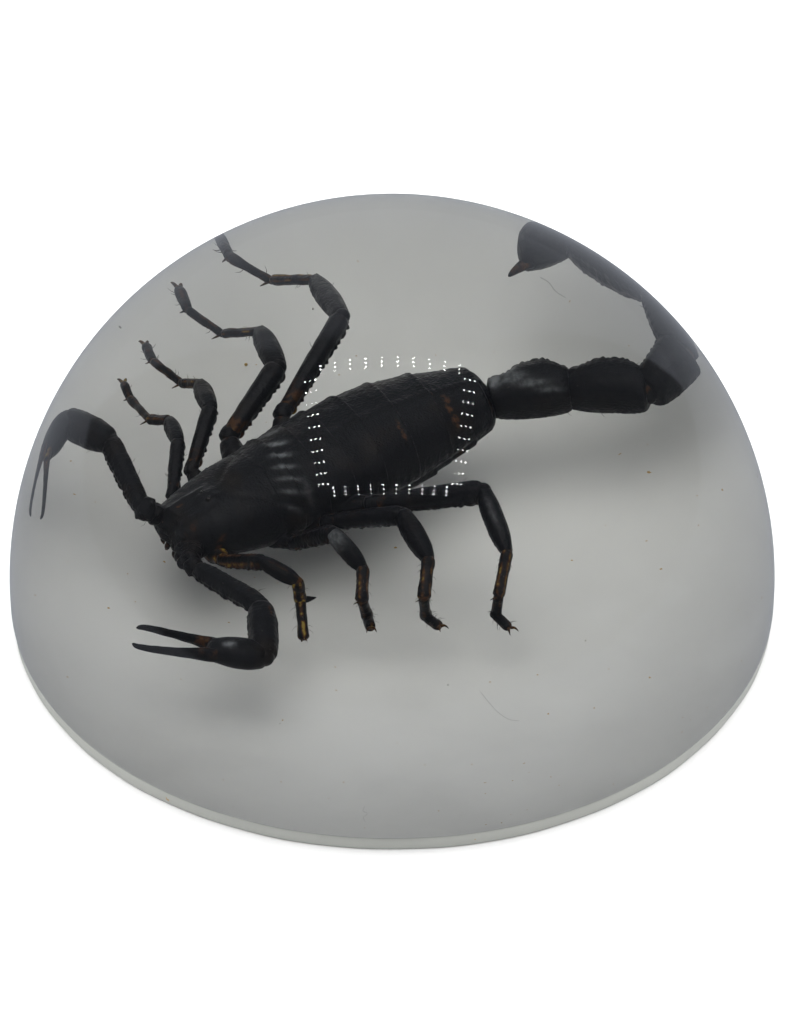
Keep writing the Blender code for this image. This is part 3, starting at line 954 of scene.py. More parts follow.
@dataclass
class Trunk:
    """Carapace, back plates and belly, with the eyes.

    The back's amber spots are (along, across, reach, spread, amount), and the eyes (along, across, rise
    over the trunk's middle, radius).
    """

    carapace_length: float = 8.3
    front_half_width: float = 2.3
    rear_half_width: float = 4.1
    length: float = 27.4
    half_width: float = 4.6
    end_half_width: float = 2.05
    widest_share: float = 0.4
    taper_power: float = 1.9
    height: float = 7.5
    back_rise: float = 3.5
    belly_drop: float = 2.5
    deep_from: float = 13.0
    deep_to: float = 17.0
    bow: float = 1.7
    nose_length: float = 0.7
    end_length: float = 0.9
    section_width: float = 2.35
    section_height: float = 2.15
    plate_ends: tuple[float, ...] = (8.3, 9.9, 12.0, 14.4, 17.0, 19.8, 22.8, 26.5)
    plate_step: float = 0.18
    plate_drop: float = 0.09
    belly_ends: tuple[float, ...] = (10.6, 14.2, 17.8, 21.4, 25.0)
    belly_step: float = 0.16
    furrow_depth: float = 0.10
    side_furrow_depth: float = 0.09
    hill_height: float = 0.55
    brow_height: float = 0.16
    edge_bead: tuple[float, float] = (0.05, 0.42)
    ridge_bead: tuple[float, float] = (0.13, 0.45)
    fold_from: float = 8.8
    fold_to: float = 25.6
    fold_depth: float = 0.14
    lobe: tuple[float, float] = (0.04, 0.62)
    notch_depth: float = 0.45
    rings: int = 360
    sides: int = 190
    coarse: Grain = Grain(0.07, 0.36, 0.30, 0.08, 1.5)
    fine: Grain = Grain(0.045, 0.17, 0.15, 0.0)
    edge_ambers: tuple[float, ...] = (0.02, 0.03, 0.04, 0.08, 0.12, 0.20, 0.3)
    spots: tuple[tuple[float, ...], ...] = (
        (1.3, 0.55, 0.60, 0.16, 0.44), (1.35, -1.6, 0.50, 0.50, 0.30), (0.5, -1.7, 0.25, 0.30, 0.26),
        (19.3, -2.3, 0.26, 0.95, 0.42), (23.65, -1.8, 0.40, 1.45, 0.46), (2.9, -3.1, 0.60, 0.25, 0.34),
    )
    # How strong the painted reflections of the overhead light's dots are on the front plates.
    bar_sheen: float = 0.80
    middle_eye: tuple[float, ...] = (3.35, 0.42, 2.64, 0.24)
    side_eye: tuple[float, ...] = (0.55, 1.95, 0.92, 0.12)
    side_eye_step: tuple[float, float] = (0.38, 0.13)

    def axis_y(self, along: Points) -> Points:
        """Sideways place of the trunk's middle."""
        return self.bow * np.sin(rising(along, self.length) * math.pi / 2.0) ** 3

    def width_at(self, along: Points) -> Points:
        """Half width, as seen from above.

        Args:
            along: distances from the front edge.

        Returns:
            One half width a distance.
        """
        opening = np.sin(rising(along, self.carapace_length) * math.pi / 2.0)
        front = self.front_half_width + (self.rear_half_width - self.front_half_width) * opening
        share = rising(along - self.carapace_length, self.length - self.carapace_length)
        opening = np.sin(np.minimum(1.0, share / self.widest_share) * math.pi / 2.0)
        swell = (self.half_width - self.rear_half_width) * opening
        taper = rising(share - self.widest_share, 1.0 - self.widest_share) ** self.taper_power
        rear = self.rear_half_width + swell - (self.half_width - self.end_half_width) * taper
        return np.where(along <= self.carapace_length, front, rear)

    def depth_at(self, along: Points) -> Points:
        """Share of the full rise and drop.

        Args:
            along: distances from the front edge.

        Returns:
            One share a distance.
        """
        nose = 0.5 + 0.5 * np.sin(rising(along, self.deep_from) * math.pi / 2.0)
        tail = 1.0 - 0.5 * rising(along - self.deep_to, self.length - self.deep_to) ** 1.6
        return np.minimum(nose, tail)

    def overlap(self, along: Points, ends: Sequence[float]) -> Points:
        """Rise of each plate from its front edge to its rear edge, from 0 to 1, then the step down.

        Args:
            along: distances from the front edge.
            ends: where the plates end, the first plate's start before them.

        Returns:
            Values from 0 to 1.
        """
        rise = np.zeros_like(along)
        for start, end in zip(ends, ends[1:]):
            share = (along - start) / (end - start)
            rise = np.where((share >= 0.0) & (share <= 1.0), np.clip(share, 0.0, 1.0) ** 1.7, rise)
            drop = 1.0 - rising(along - end, self.plate_drop)
            rise = np.where((share > 1.0) & (drop > 0.0), np.maximum(rise, drop), rise)
        return rise

    def carapace_relief(self, along: Points, across: Points) -> Points:
        """Furrows, eye hill and brows of the carapace.

        Args:
            along: distances from the front edge.
            across: distances from the trunk's middle.

        Returns:
            How far the shell stands up.
        """
        furrow = -self.furrow_depth * hump(across, 0.20) * rising(along - 0.4, 0.8)
        side_line = np.abs(across) - (0.55 + np.clip(along - 4.6, 0.0, 4.0) * 0.72)
        furrow = furrow - self.side_furrow_depth * hump(side_line, 0.30) * rising(along - 4.4, 0.8)
        hill = self.hill_height * mound(along - 3.5, across, 0.85, 0.62)
        brow = self.brow_height * hump(np.abs(across) - 0.95, 0.28) * rising(4.4 - along, 0.8)
        return furrow + hill + brow

    def relief(self, along: Points, across: Points, top: Points) -> Points:
        """Relief of the carapace, and the plates' beaded edges, middle ridge and steps.

        Args:
            along: distances from the front edge.
            across: distances from the trunk's middle.
            top: 1 on the back, 0 on the belly.

        Returns:
            How far the shell stands up.
        """
        ahead = self.carapace_length - along
        lift = self.carapace_relief(along, across) * rising(ahead, 0.4) * top
        bead, bead_length = self.edge_bead
        for end in self.plate_ends:
            edge = hump(along - (end - 0.20), 0.13) * (0.55 + 0.45 * np.cos(across * FULL_TURN / bead_length))
            lift = lift + bead * edge * top
        bead, bead_length = self.ridge_bead
        ridge = hump(across, 0.17) * (0.3 + 0.7 * np.abs(np.sin(along * math.pi / bead_length)))
        lift = lift + bead * ridge * (1.0 - rising(ahead, 0.1)) * top
        steps = self.overlap(along, self.plate_ends) * np.clip(top + 0.25, 0.0, 1.0)
        return lift + self.plate_step * steps * (ahead < 0.01)

    def back(self) -> Skin:
        """The trunk's skin.

        Returns:
            The skin of the carapace, the plates and the belly.
        """
        extra = [end + shift for end in self.plate_ends for shift in (-0.3, -0.2, -0.1, 0.0, 0.045, 0.09)]
        along = np.unique(np.concatenate([np.linspace(0.02, self.length - 0.01, self.rings), extra]))
        angles = turns(self.sides)
        sine = np.sin(angles)[None, :]
        end = bulged(rising(self.length - along, self.end_length))
        blunt = (bulged(rising(along, self.nose_length)) * end)[:, None]
        blunt_width = (0.25 + 0.75 * rising(along, 0.35) ** 0.5)[:, None] * end[:, None]
        x = np.repeat(along[:, None], self.sides, axis=1)
        round_x = boxed(np.cos(angles)[None, :], self.section_width)
        across = self.width_at(along)[:, None] * round_x * blunt_width
        height = np.where(sine > 0.0, self.back_rise, self.belly_drop) * self.depth_at(along)[:, None]
        upright = height * boxed(sine, self.section_height) * blunt
        outward = unit(np.stack([across / self.half_width, upright / self.back_rise], axis=-1))
        top = np.clip(sine * 3.0 + 0.35, 0.0, 1.0)
        belly = np.clip(-sine * 3.0, 0.0, 1.0)
        beside = rising(x - self.fold_from, 1.5) * rising(self.fold_to - x, 1.5)
        fold = hump(sine + 0.16, 0.13) * beside
        lobe_height, lobe_length = self.lobe
        lobes = np.abs(np.sin(x * math.pi / lobe_length)) * hump(sine - 0.08, 0.16) * beside
        lift = self.relief(x, across, np.broadcast_to(top, x.shape))
        lift = lift + self.belly_step * self.overlap(x, self.belly_ends) * belly
        lift = lift - self.fold_depth * fold + lobe_height * lobes
        notch = self.notch_depth * hump(across, 0.75) * (1.0 - rising(along, 1.1))[:, None]
        plain = np.stack([x + notch, across, upright], axis=-1).reshape(-1, 3)
        rough = (self.coarse.heights(plain) + self.fine.heights(plain)).reshape(x.shape)
        rough = rough * (0.55 + 0.45 * rising(np.abs(across), 3.0))
        lift = lift + rough * np.clip(top + 0.12, 0.0, 1.0) * blunt
        places = np.stack([
            x + notch,
            self.axis_y(along)[:, None] + across + outward[..., 0] * lift,
            self.height + upright + outward[..., 1] * lift,
        ], axis=-1)
        ambers = self.ambers(x, across, fold, belly)
        return Skin.grid(places[:, ::-1], ambers[:, ::-1], self.film_sheens(x, across, belly)[:, ::-1])

    def ambers(self, along: Points, across: Points, fold: Points, belly: Points) -> Points:
        """How amber the trunk is: at the side folds, behind plate edges, in spots, and under the front.

        Args:
            along: distances from the front edge.
            across: distances from the trunk's middle.
            fold: 1 in the side fold.
            belly: 1 on the belly.

        Returns:
            Values from 0 to 1.
        """
        near_front = (across < 0.0) * rising(18.0 - along, 3.0)
        tone = (0.10 + 0.40 * near_front) * fold ** 3 + 0.16 * belly
        for end, amount in zip(self.plate_ends[1:], self.edge_ambers):
            patch = 0.5 + 0.5 * np.sin(across * 1.7 + end * 2.3)
            tone = tone + amount * hump(along - (end + 0.16), 0.10) * patch * (1.0 - belly)
        for x, y, reach, spread, amount in self.spots:
            tone = tone + amount * mound(along - x, across - y, reach, spread)
        return np.clip(tone, 0.0, 1.0)

    def film_sheens(self, along: Points, across: Points, belly: Points) -> Points:
        """How much painted silvery sheen the trunk has: short bars across the front plates, which are
        painted reflections of the overhead light's dots, and a few wider painted gleams.

        Args:
            along: distances from the front edge.
            across: distances from the trunk's middle.
            belly: 1 on the belly.

        Returns:
            Values from 0 to 1.
        """
        behind = along - 10.15
        level = across + 0.49 * behind
        count = (level - 0.09) / 1.33 - 0.04 * level ** 2
        bars = (0.5 + 0.5 * np.cos(count * FULL_TURN)) ** 2 * hump(across - 0.6, 4.2)
        band = self.bar_sheen * bars * hump(behind - 0.30 * across, 0.95)
        # Wider painted gleams: one on the near side behind the carapace, and a faint one over the carapace.
        rear = 0.22 * mound(along - 10.6, across + 3.2, 0.5, 1.0)
        front = 0.08 * hump(along - 4.0, 3.4)
        return np.clip((band + rear + front) * (1.0 - belly), 0.0, 1.0)

    def eyes(self) -> Skin:
        """Two middle eyes on their hill, and three small ones at each front corner.

        Returns:
            The eyes' skin.
        """
        x, y, rise, radius = self.middle_eye
        spots = [(x, side.value * y, rise, radius) for side in Side]
        x, y, rise, radius = self.side_eye
        back, out = self.side_eye_step
        for side in Side:
            spots += [(x + back * step, side.value * (y + out * step), rise, radius) for step in range(3)]
        skins = []
        for x, y, rise, radius in spots:
            place = np.array([x, y + self.axis_y(np.array([x]))[0], self.height + rise])
            skins.append(Sweep.ball(place, TAILWARD * radius, radius, rings=14, sides=18).skin())
        return Skin.joined(skins)


@dataclass
class Jaws:
    """The short thick jaws with their two small fingers each. Places are the right jaw's.

    The fingers' roots are (aside, up) from the jaw's tip. A finger's end is (along the body, inwards as a
    share of its aside, up) from its root, and its bow is (along the body, outwards as that share).
    """

    root: Place = (2.0, 0.85, 7.3)
    tip: Place = (0.05, 0.80, 6.95)
    half_width: float = 0.76
    shape: Shape = ((0.0, 0.8, 1.0, 0.8), (0.6, 1.0, 1.0, 1.0), (1.0, 0.8, 0.8, 0.8))
    grain: Grain = Grain(0.10, 0.34, 0.2, 0.14, 0.8)
    amber: Tones = (0.1, 0.06, 0.18)
    finger_radii: Sequence[tuple[float, float]] = ((0.0, 0.27), (0.6, 0.19), (1.0, 0.05))
    finger_amber: Tones = (0.3, 0.35, 0.1)
    finger_behind: float = 0.75
    finger_roots: Sequence[tuple[float, float]] = ((0.30, -0.35), (-0.30, -0.65))
    finger_end: Place = (-0.15, -0.6, -0.75)
    finger_bow: tuple[float, float] = (-0.1, 0.35)

    def skin(self) -> Skin:
        """Both jaws.

        Returns:
            The jaws' skin.
        """
        skins = []
        ahead, inward, up = self.finger_end
        bow_ahead, bow_out = self.finger_bow
        for side in Side:
            start, end = mirrored(self.root, side), mirrored(self.tip, side)
            jaw = Sweep(
                [start, end], scaled(self.half_width, self.shape), grain=self.grain, amber=self.amber,
                roundness=0.3, rings=44, sides=36,
            )
            skins.append(jaw.skin())
            for aside, rise in self.finger_roots:
                root = end + mirrored((self.finger_behind, aside, rise), side)
                tip = root + mirrored((ahead, aside * inward, up), side)
                middle = (root + tip) / 2.0 + mirrored((bow_ahead, aside * bow_out, 0.0), side)
                path, profile = [root, middle, tip], rounded(self.finger_radii)
                skins.append(Sweep(path, profile, amber=self.finger_amber, rings=18, sides=14).skin())
        return Skin.joined(skins)


@dataclass
class Combs:
    """The pair of combs under the body, behind the last legs' hips. Places are the right comb's.

    The first tooth's place and the teeth's gap are shares of the shaft.
    """

    root: Place = (10.2, 0.7, 5.45)
    heading: float = 62.0
    pitch: float = 4.0
    length: float = 4.6
    bow: float = 0.25
    shape: Shape = ((0.0, 0.34, 0.24, 0.24), (0.7, 0.28, 0.2, 0.2), (1.0, 0.15, 0.12, 0.12))
    amber: Tones = (0.4, 0.6, 0.6)
    teeth: int = 15
    first_tooth: float = 0.08
    tooth_gap: float = 0.062
    tooth_heading: float = 8.0
    tooth_pitch: float = -14.0
    tooth_length: float = 0.8
    tooth_shape: Shape = ((0.0, 0.10, 0.07, 0.07), (0.7, 0.11, 0.07, 0.07), (1.0, 0.07, 0.05, 0.05))
    tooth_amber: Tones = (0.6, 0.7, 0.7)

    def skin(self) -> Skin:
        """Both combs.

        Returns:
            The combs' skin.
        """
        skins = []
        for side in Side:
            root = mirrored(self.root, side)
            tip = root + aim(self.heading, self.pitch, side) * self.length
            middle = (root + tip) / 2.0 + TAILWARD * self.bow
            shaft = Sweep([root, middle, tip], self.shape, amber=self.amber)
            skins.append(shaft.skin())
            tooth = aim(self.tooth_heading, self.tooth_pitch, side) * self.tooth_length
            for step in range(self.teeth):
                share = self.first_tooth + step * self.tooth_gap
                foot, _, _ = shaft.surface(share, 0.0 if side is Side.RIGHT else 180.0)
                path = [foot, foot + tooth]
                skins.append(Sweep(path, self.tooth_shape, amber=self.tooth_amber, rings=8, sides=8).skin())
        return Skin.joined(skins)


@dataclass
class Tail:
    """Five keeled segments lying on their side, then the bulb and the sting.

    Humps and starts are how far each segment's back stands out at its middle and near its start, and
    waist is how thick its ends are, all as shares of its half width. Its films, patches of painted
    silvery sheen where air lies on the shell, are on the first segment.
    """

    root: tuple[float, float, float] = (27.4, 1.25, 8.0)
    lengths: tuple[float, ...] = (5.15, 5.4, 4.2, 5.3, 6.75)
    headings: tuple[float, ...] = (-18.0, -27.5, 31.5, 91.0, 125.3)
    halves: tuple[float, ...] = (1.80, 1.74, 1.90, 1.80, 1.72)
    humps: tuple[float, ...] = (1.22, 1.14, 0.80, 0.88, 0.92)
    starts: tuple[float, ...] = (0.62, 0.78, 0.60, 0.78, 0.78)
    middle_start: float = 0.78
    waist: float = 0.66
    keels: tuple[Keel, ...] = (
        Keel(56.0, 0.14, 7.0, 0.46, 0.75), Keel(124.0, 0.12, 7.0, 0.46), Keel(84.0, 0.11, 9.0, 0.50, 0.75),
        Keel(18.0, 0.09, 6.0, 0.44), Keel(162.0, 0.08, 7.0, 0.44), Keel(236.0, 0.06, 8.0, 0.5),
        Keel(304.0, 0.07, 7.0, 0.5),
    )
    # Patches of painted silvery sheen on the first segment, for the air layer there.
    film_sheens: tuple[Patch, ...] = (
        Patch(0.09, 8.0, 0.07, 26.0, 0.78), Patch(0.26, 22.0, 0.14, 14.0, 0.58),
        Patch(0.32, 358.0, 0.18, 12.0, 0.60), Patch(0.54, 338.0, 0.20, 11.0, 0.56),
        Patch(0.74, 316.0, 0.18, 10.0, 0.46),
    )
    bulb_length: float = 3.5
    bulb_half: float = 1.45
    bulb_heading: float = 171.5
    bulb_shape: Shape = (
        (0.0, 0.52, 0.50, 0.52), (0.12, 0.68, 0.56, 0.70), (0.35, 0.95, 0.62, 1.0), (0.62, 1.0, 0.62, 1.10),
        (0.86, 0.76, 0.60, 0.90), (1.0, 0.46, 0.56, 0.50),
    )
    sting_length: float = 1.75
    sting_heading: float = 199.0
    sting_steps: int = 4
    sting_radii: tuple[tuple[float, float], ...] = (
        (0.0, 0.42), (0.3, 0.36), (0.6, 0.27), (0.85, 0.17), (1.0, 0.07)
    )
    rings: int = 92
    sides: int = 60

    def joints(self) -> list[Points]:
        """The joints from the tail's root to the bulb's."""
        return walk(np.array(self.root), self.lengths, self.headings, [0.0] * len(self.lengths), Side.RIGHT)

    def segments(self) -> list[Sweep]:
        """The five segments. Each one's back humps up inside the curl between two narrow waists.

        Returns:
            The segments, from the root.
        """
        pieces = []
        joints, waist = self.joints(), self.waist
        shapes = zip(joints, joints[1:], self.halves, self.humps, self.starts)
        for index, (start, end, half, rise, low) in enumerate(shapes):
            forward = unit(end - start)
            profile = scaled(half, (
                (0.0, waist, waist * 0.95, waist), (0.06, waist * 1.05, waist * 0.98, 0.80),
                (0.20, 0.86, low, 0.86), (0.42, 0.97, rise + low - self.middle_start, 0.90),
                (0.66, 0.97, rise * 0.98, 0.91),
                (0.86, 0.90, 0.80, 0.92), (0.95, 0.76, waist * 1.02, 0.88), (1.0, waist, waist, waist),
            ))
            pieces.append(Sweep(
                [start - forward * 0.35, end + forward * 0.30], profile, up=np.cross(UPWARD, forward),
                keels=self.keels, grain=Grain(0.045, 0.25, 0.3, 0.04, 0.9), amber=(0.22, 0.02, 0.30),
                ember=0.05, crest=0.12, film_sheens=self.film_sheens if index == 0 else (), roundness=0.05, square=2.4,
                rings=self.rings, sides=self.sides,
            ))
        return pieces

    def bulb(self) -> list[Sweep]:
        """The bulb, flat on the side inside the curl, and the short sting in line with that side.

        Returns:
            The bulb and the sting.
        """
        root = self.joints()[-1]
        forward = unit(aim(self.bulb_heading, 0.0))
        back = np.cross(UPWARD, forward)
        bulb = Sweep(
            [root - forward * 0.15, root + forward * self.bulb_length], scaled(self.bulb_half, self.bulb_shape),
            up=back, grain=Grain(0.05, 0.33, 0.35, 0.06, 0.9), amber=(0.25, 0.02, 0.12), roundness=0.10,
            square=2.3, rings=76, sides=56,
        )
        path = [root + forward * self.bulb_length * 0.76 + back * 0.58]
        for step in range(1, self.sting_steps + 1):
            heading = self.bulb_heading + (self.sting_heading - self.bulb_heading) * step / self.sting_steps
            path.append(path[-1] + aim(heading, 0.0) * (self.sting_length / self.sting_steps))
        taper = rounded(self.sting_radii)
        return [bulb, Sweep(path, taper, amber=(0.05, 0.52, 0.05), ember=0.35, rings=40, sides=22)]

    def knots(self) -> list[Sweep]:
        """Thin brown skin that shows between two segments.

        Returns:
            One ball of skin a joint.
        """
        brown, grain = (0.30, 0.30, 0.30), Grain(0.04, 0.3)
        return [
            Sweep.ball(
                joint, TAILWARD * half * 0.5, half * 0.58, amber=brown, grain=grain, rings=18, sides=24
            )
            for joint, half in zip(self.joints()[1:], self.halves[1:])
        ]

    def build(self, bristles: Bristles) -> Skin:
        """Make the whole tail and set its hairs.

        Args:
            bristles: what gathers the hairs.

        Returns:
            The tail's skin.
        """
        segments, bulb = self.segments(), self.bulb()
        for piece, count in zip((*segments, bulb[0]), (5, 5, 5, 5, 5, 4)):
            bristles.over(piece, count, 0.35)
        return Skin.joined(piece.skin() for piece in (*segments, *bulb, *self.knots()))


@dataclass(frozen=True)
class PincerPose:
    """How one pincer lies: its root, then the headings and pitches of arm, forearm, hand and fingers.

    Lumps are the hip's: start and end as shares of the way to the root, radius, and shift headwards.
    Slim is the arm's share of its full thickness, and fork is how far apart the fingers start.
    """

    root: tuple[float, float, float]
    headings: tuple[float, float, float, float]
    pitches: tuple[float, float, float, float]
    spreads: tuple[float, float]
    lumps: tuple[tuple[float, float, float, float], ...]
    slim: float
    fork: float


@dataclass
class Pincer:
    """One pincer arm, from its hip knuckles to its two long fingers.

    The shapes' widths are shares of a piece's half width. The points along the arm's front lower edge
    are (share of the arm, how far each stands out).
    """

    side: Side
    pose: PincerPose
    spot: bool = False
    lengths: tuple[float, float, float, float] = (7.2, 5.4, 5.2, 6.5)
    arm_half: float = 0.94
    forearm_half: float = 1.22
    hand_half: float = 1.38
    knee_half: float = 0.80
    finger_hook: float = 0.35
    fork_margin: float = 0.36
    shoulder: Place = (1.8, 1.3, 7.2)
    knuckle_grain: Grain = Grain(0.16, 0.40, 0.2, 0.18, 0.75)
    knuckle_glows: Sequence[Patch] = (
        Patch(0.6, 60.0, 0.18, 30.0, 0.17), Patch(0.4, 120.0, 0.12, 25.0, 0.14)
    )
    arm_glow: Patch = Patch(0.80, 90.0, 0.06, 26.0, 0.22)
    forearm_glows: Sequence[Patch] = (
        Patch(0.26, 120.0, 0.11, 9.0, 0.34), Patch(0.92, 70.0, 0.04, 26.0, 0.26)
    )
    # A patch of painted silvery sheen on the near hand, for the air layer there.
    hand_film_sheen: Patch = Patch(0.62, 106.0, 0.11, 17.0, 0.95)
    knuckle_shape: Shape = (
        (0.0, 0.72, 0.70, 0.70), (0.35, 1.05, 1.0, 0.95), (0.7, 0.94, 0.92, 0.9), (1.0, 0.62, 0.60, 0.62)
    )
    arm_shape: Shape = (
        (0.0, 0.62, 0.60, 0.62), (0.12, 0.84, 0.82, 0.84), (0.45, 0.95, 0.94, 0.95), (0.78, 1.0, 0.98, 0.98),
        (1.0, 0.88, 0.84, 0.84),
    )
    forearm_shape: Shape = (
        (0.0, 0.62, 0.62, 0.62), (0.14, 0.84, 0.80, 0.80), (0.40, 1.02, 0.96, 0.96), (0.70, 0.98, 0.95, 0.95),
        (0.90, 0.82, 0.80, 0.80), (1.0, 0.62, 0.62, 0.62),
    )
    hand_shape: Shape = (
        (0.0, 0.56, 0.54, 0.54), (0.12, 0.80, 0.74, 0.74), (0.36, 1.0, 0.92, 0.92), (0.62, 0.98, 0.86, 0.86)
    )
    finger_sizes: Shape = (
        (0.0, 0.46, 0.62, 0.62), (0.12, 0.46, 0.66, 0.66), (0.22, 0.40, 0.60, 0.60), (0.36, 0.30, 0.50, 0.50),
        (0.5, 0.25, 0.42, 0.42), (0.7, 0.23, 0.36, 0.36), (0.88, 0.20, 0.28, 0.28), (0.97, 0.14, 0.18, 0.18),
        (1.0, 0.05, 0.06, 0.06),
    )
    points: tuple[tuple[float, float], ...] = (
        (0.14, 0.10), (0.32, 0.15), (0.52, 0.18), (0.70, 0.12), (0.84, 0.08)
    )

    @property
    def front(self) -> float:
        """Angle round the limb that faces the head, in degrees."""
        return 180.0 if self.side is Side.RIGHT else 0.0

    def lower(self, past: float) -> float:
        """Angle round the limb, in degrees, this far below the one that faces the head."""
        return 180.0 + past if self.side is Side.RIGHT else 360.0 - past

    def joints(self) -> list[Points]:
        """The joints from the arm's root to the fingers' tips.

        Returns:
            The joints, in their order.
        """
        start = mirrored(self.pose.root, self.side)
        return walk(start, self.lengths, self.pose.headings, self.pose.pitches, self.side)

    def knuckles(self) -> list[Sweep]:
        """The rough uneven lumps of the hip.

        Returns:
            The lumps, from the body outwards.
        """
        shoulder = mirrored(self.shoulder, self.side)
        along = self.joints()[0] - shoulder
        headwards = -self.side.value * np.cross(unit(along), UPWARD)
        pieces = []
        for start, end, half, shift in self.pose.lumps:
            path = [shoulder + along * share + headwards * shift for share in (start, end)]
            pieces.append(Sweep(
                path, scaled(half, self.knuckle_shape), grain=self.knuckle_grain, amber=(0.12, 0.04, 0.10),
                ember=0.15, glows=self.knuckle_glows, roundness=0.40, rings=56, sides=56,
            ))
        return pieces

    def knees(self) -> list[Sweep]:
        """Thin skin at the two joints of the arm.

        Returns:
            One ball of skin a joint.
        """
        across = aim(self.pose.headings[0] + 45.0, 0.0, self.side)
        brown, grain = (0.12, 0.12, 0.12), Grain(0.03, 0.25)
        return [
            Sweep.ball(joint, across * half, half, amber=brown, grain=grain, rings=22, sides=26)
            for joint, half in zip(self.joints()[1:3], (0.78 * self.pose.slim, self.knee_half))
        ]

    def arm(self) -> Sweep:
        """The upper arm, with pointed bumps on its front lower edge and finer ones on the others.

        Returns:
            The upper arm.
        """
        start, end = self.joints()[:2]
        forward = unit(end - start)
        keels = (
            Keel(52.0, 0.06, 10.0, 0.43), Keel(128.0, 0.06, 10.0, 0.37),
            Keel(self.lower(32.0), 0.20, 11.0, 0.62, 0.7), Keel(self.front, 0.13, 10.0, 0.52),
            Keel(180.0 - self.front, 0.07, 12.0, 0.5), Keel(270.0, 0.12, 12.0, 0.5),
        )
        profile = scaled(self.arm_half * self.pose.slim, self.arm_shape)
        return Sweep(
            [start - forward * 0.35, end + forward * 0.42], profile, keels=keels,
            grain=Grain(0.05, 0.24, 0.25, 0.04, 0.8), amber=(0.20, 0.04, 0.12), ember=0.06,
            crest=0.10, glows=(self.arm_glow,), roundness=0.11, square=2.15,
            rings=120, sides=58,
        )

    def tubercles(self, arm: Sweep) -> list[Sweep]:
        """The few larger points that stand along the arm's front lower edge.

        Args:
            arm: the upper arm.

        Returns:
            The points.
        """
        pieces = []
        profile = rounded(((0.0, 0.34), (0.6, 0.28), (1.0, 0.16)))
        for share, reach in self.points:
            foot, outward, forward = arm.surface(share, self.lower(36.0))
            root = foot - outward * 0.15
            path = [root, root + outward * (0.15 + reach) + forward * 0.05]
            pieces.append(Sweep(path, profile, up=forward, roundness=0.30, rings=14, sides=16))
        return pieces

    def forearm(self) -> Sweep:
        """The forearm, which swells before its middle on the front side.

        Returns:
            The forearm.
        """
        start, end = self.joints()[1:3]
        forward = unit(end - start)
        keels = (
            Keel(50.0, 0.05, 10.0, 0.5), Keel(130.0, 0.05, 10.0, 0.5), Keel(self.front, 0.09, 10.0, 0.6),
            Keel(180.0 - self.front, 0.05, 12.0, 0.42),
        )
        return Sweep(
            [start - forward * 0.40, end + forward * 0.45], scaled(self.forearm_half, self.forearm_shape),
            keels=keels, grain=Grain(0.03, 0.22, 0.25, 0.03, 0.9), amber=(0.12, 0.04, 0.12), ember=0.08,
            crest=0.08, glows=self.forearm_glows if self.spot else (), roundness=0.13, square=2.1,
            rings=108, sides=56,
        )

    def hand(self) -> Sweep:
        """The smooth slender hand, which hardly narrows before the fingers part.

        Returns:
            The hand.
        """
        start, end = self.joints()[2:4]
        forward = unit(end - start)
        half = self.hand_half
        wide = self.pose.fork + self.fork_margin
        profile = [
            *scaled(half, self.hand_shape), (0.84, wide + (half - wide) * 0.35, half * 0.66, half * 0.66),
            (1.0, wide * 1.04, half * 0.46, half * 0.46),
        ]
        keels = (Keel(60.0, 0.03, 7.0), Keel(120.0, 0.03, 7.0))
        film_sheens = (self.hand_film_sheen,) if self.spot else ()
        return Sweep(
            [start - forward * 0.35, end - forward * 0.15], profile, keels=keels,
            grain=Grain(0.015, 0.2, 0.2, 0.03, 1.1), amber=(0.08, 0.02, 0.30), ember=0.08, film_sheens=film_sheens,
            roundness=0.10, square=2.05, rings=96, sides=60,
        )

    def fingers(self) -> list[Sweep]:
        """Two slender fingers, orange near the root, which bow apart and hook in at their tips.

        Returns:
            The two fingers.
        """
        heading, pitch = self.pose.headings[3], self.pose.pitches[3]
        root = self.joints()[3]
        along = aim(heading, pitch, self.side)
        length = self.lengths[3]
        pieces = []
        for outward, spread in zip((1.0, -1.0), self.pose.spreads):
            across = aim(heading + 90.0, 0.0, self.side) * outward
            opening = length * math.sin(math.radians(spread))
            path = []
            for share in (-0.24, 0.0, 0.2, 0.4, 0.6, 0.8, 0.93, 1.0):
                bow = self.pose.fork + opening * share * (1.15 - 0.45 * share)
                hook = self.finger_hook * max(0.0, (share - 0.9) / 0.1)
                inward = -0.16 if share < 0.0 else 0.0
                path.append(root + along * (length * share) + across * (bow - hook - inward))
            inner = 0.0 if outward * self.side.value > 0.0 else 180.0
            glow = Patch(0.24, 45.0 + 0.5 * inner, 0.17, 80.0, 0.42 if inner else 0.70)
            pieces.append(Sweep(
                path, self.finger_sizes, keels=(Keel(inner, 0.05, 16.0, 0.30), Keel(90.0, 0.02, 14.0)),
                grain=Grain(0.012, 0.2, 0.2, 0.03, 0.9), amber=(0.20, 0.0, 0.12), ember=0.30,
                glows=(glow,), roundness=0.03, rings=130, sides=28,
            ))
        return pieces

    def build(self, bristles: Bristles) -> Skin:
        """Make the whole pincer and set its hairs.

        Args:
            bristles: what gathers the hairs.

        Returns:
            The pincer's skin.
        """
        knuckles, knees, arm = self.knuckles(), self.knees(), self.arm()
        forearm, hand = self.forearm(), self.hand()
        for knuckle in knuckles[:4]:
            bristles.over(knuckle, 5, 0.6)
        for piece, count, length in ((arm, 14, 0.55), (forearm, 8, 0.45), (hand, 5, 0.35)):
            bristles.over(piece, count, length)
        pieces = (*knuckles, *knees, arm, *self.tubercles(arm), forearm, hand, *self.fingers())
        return Skin.joined(piece.skin() for piece in pieces)


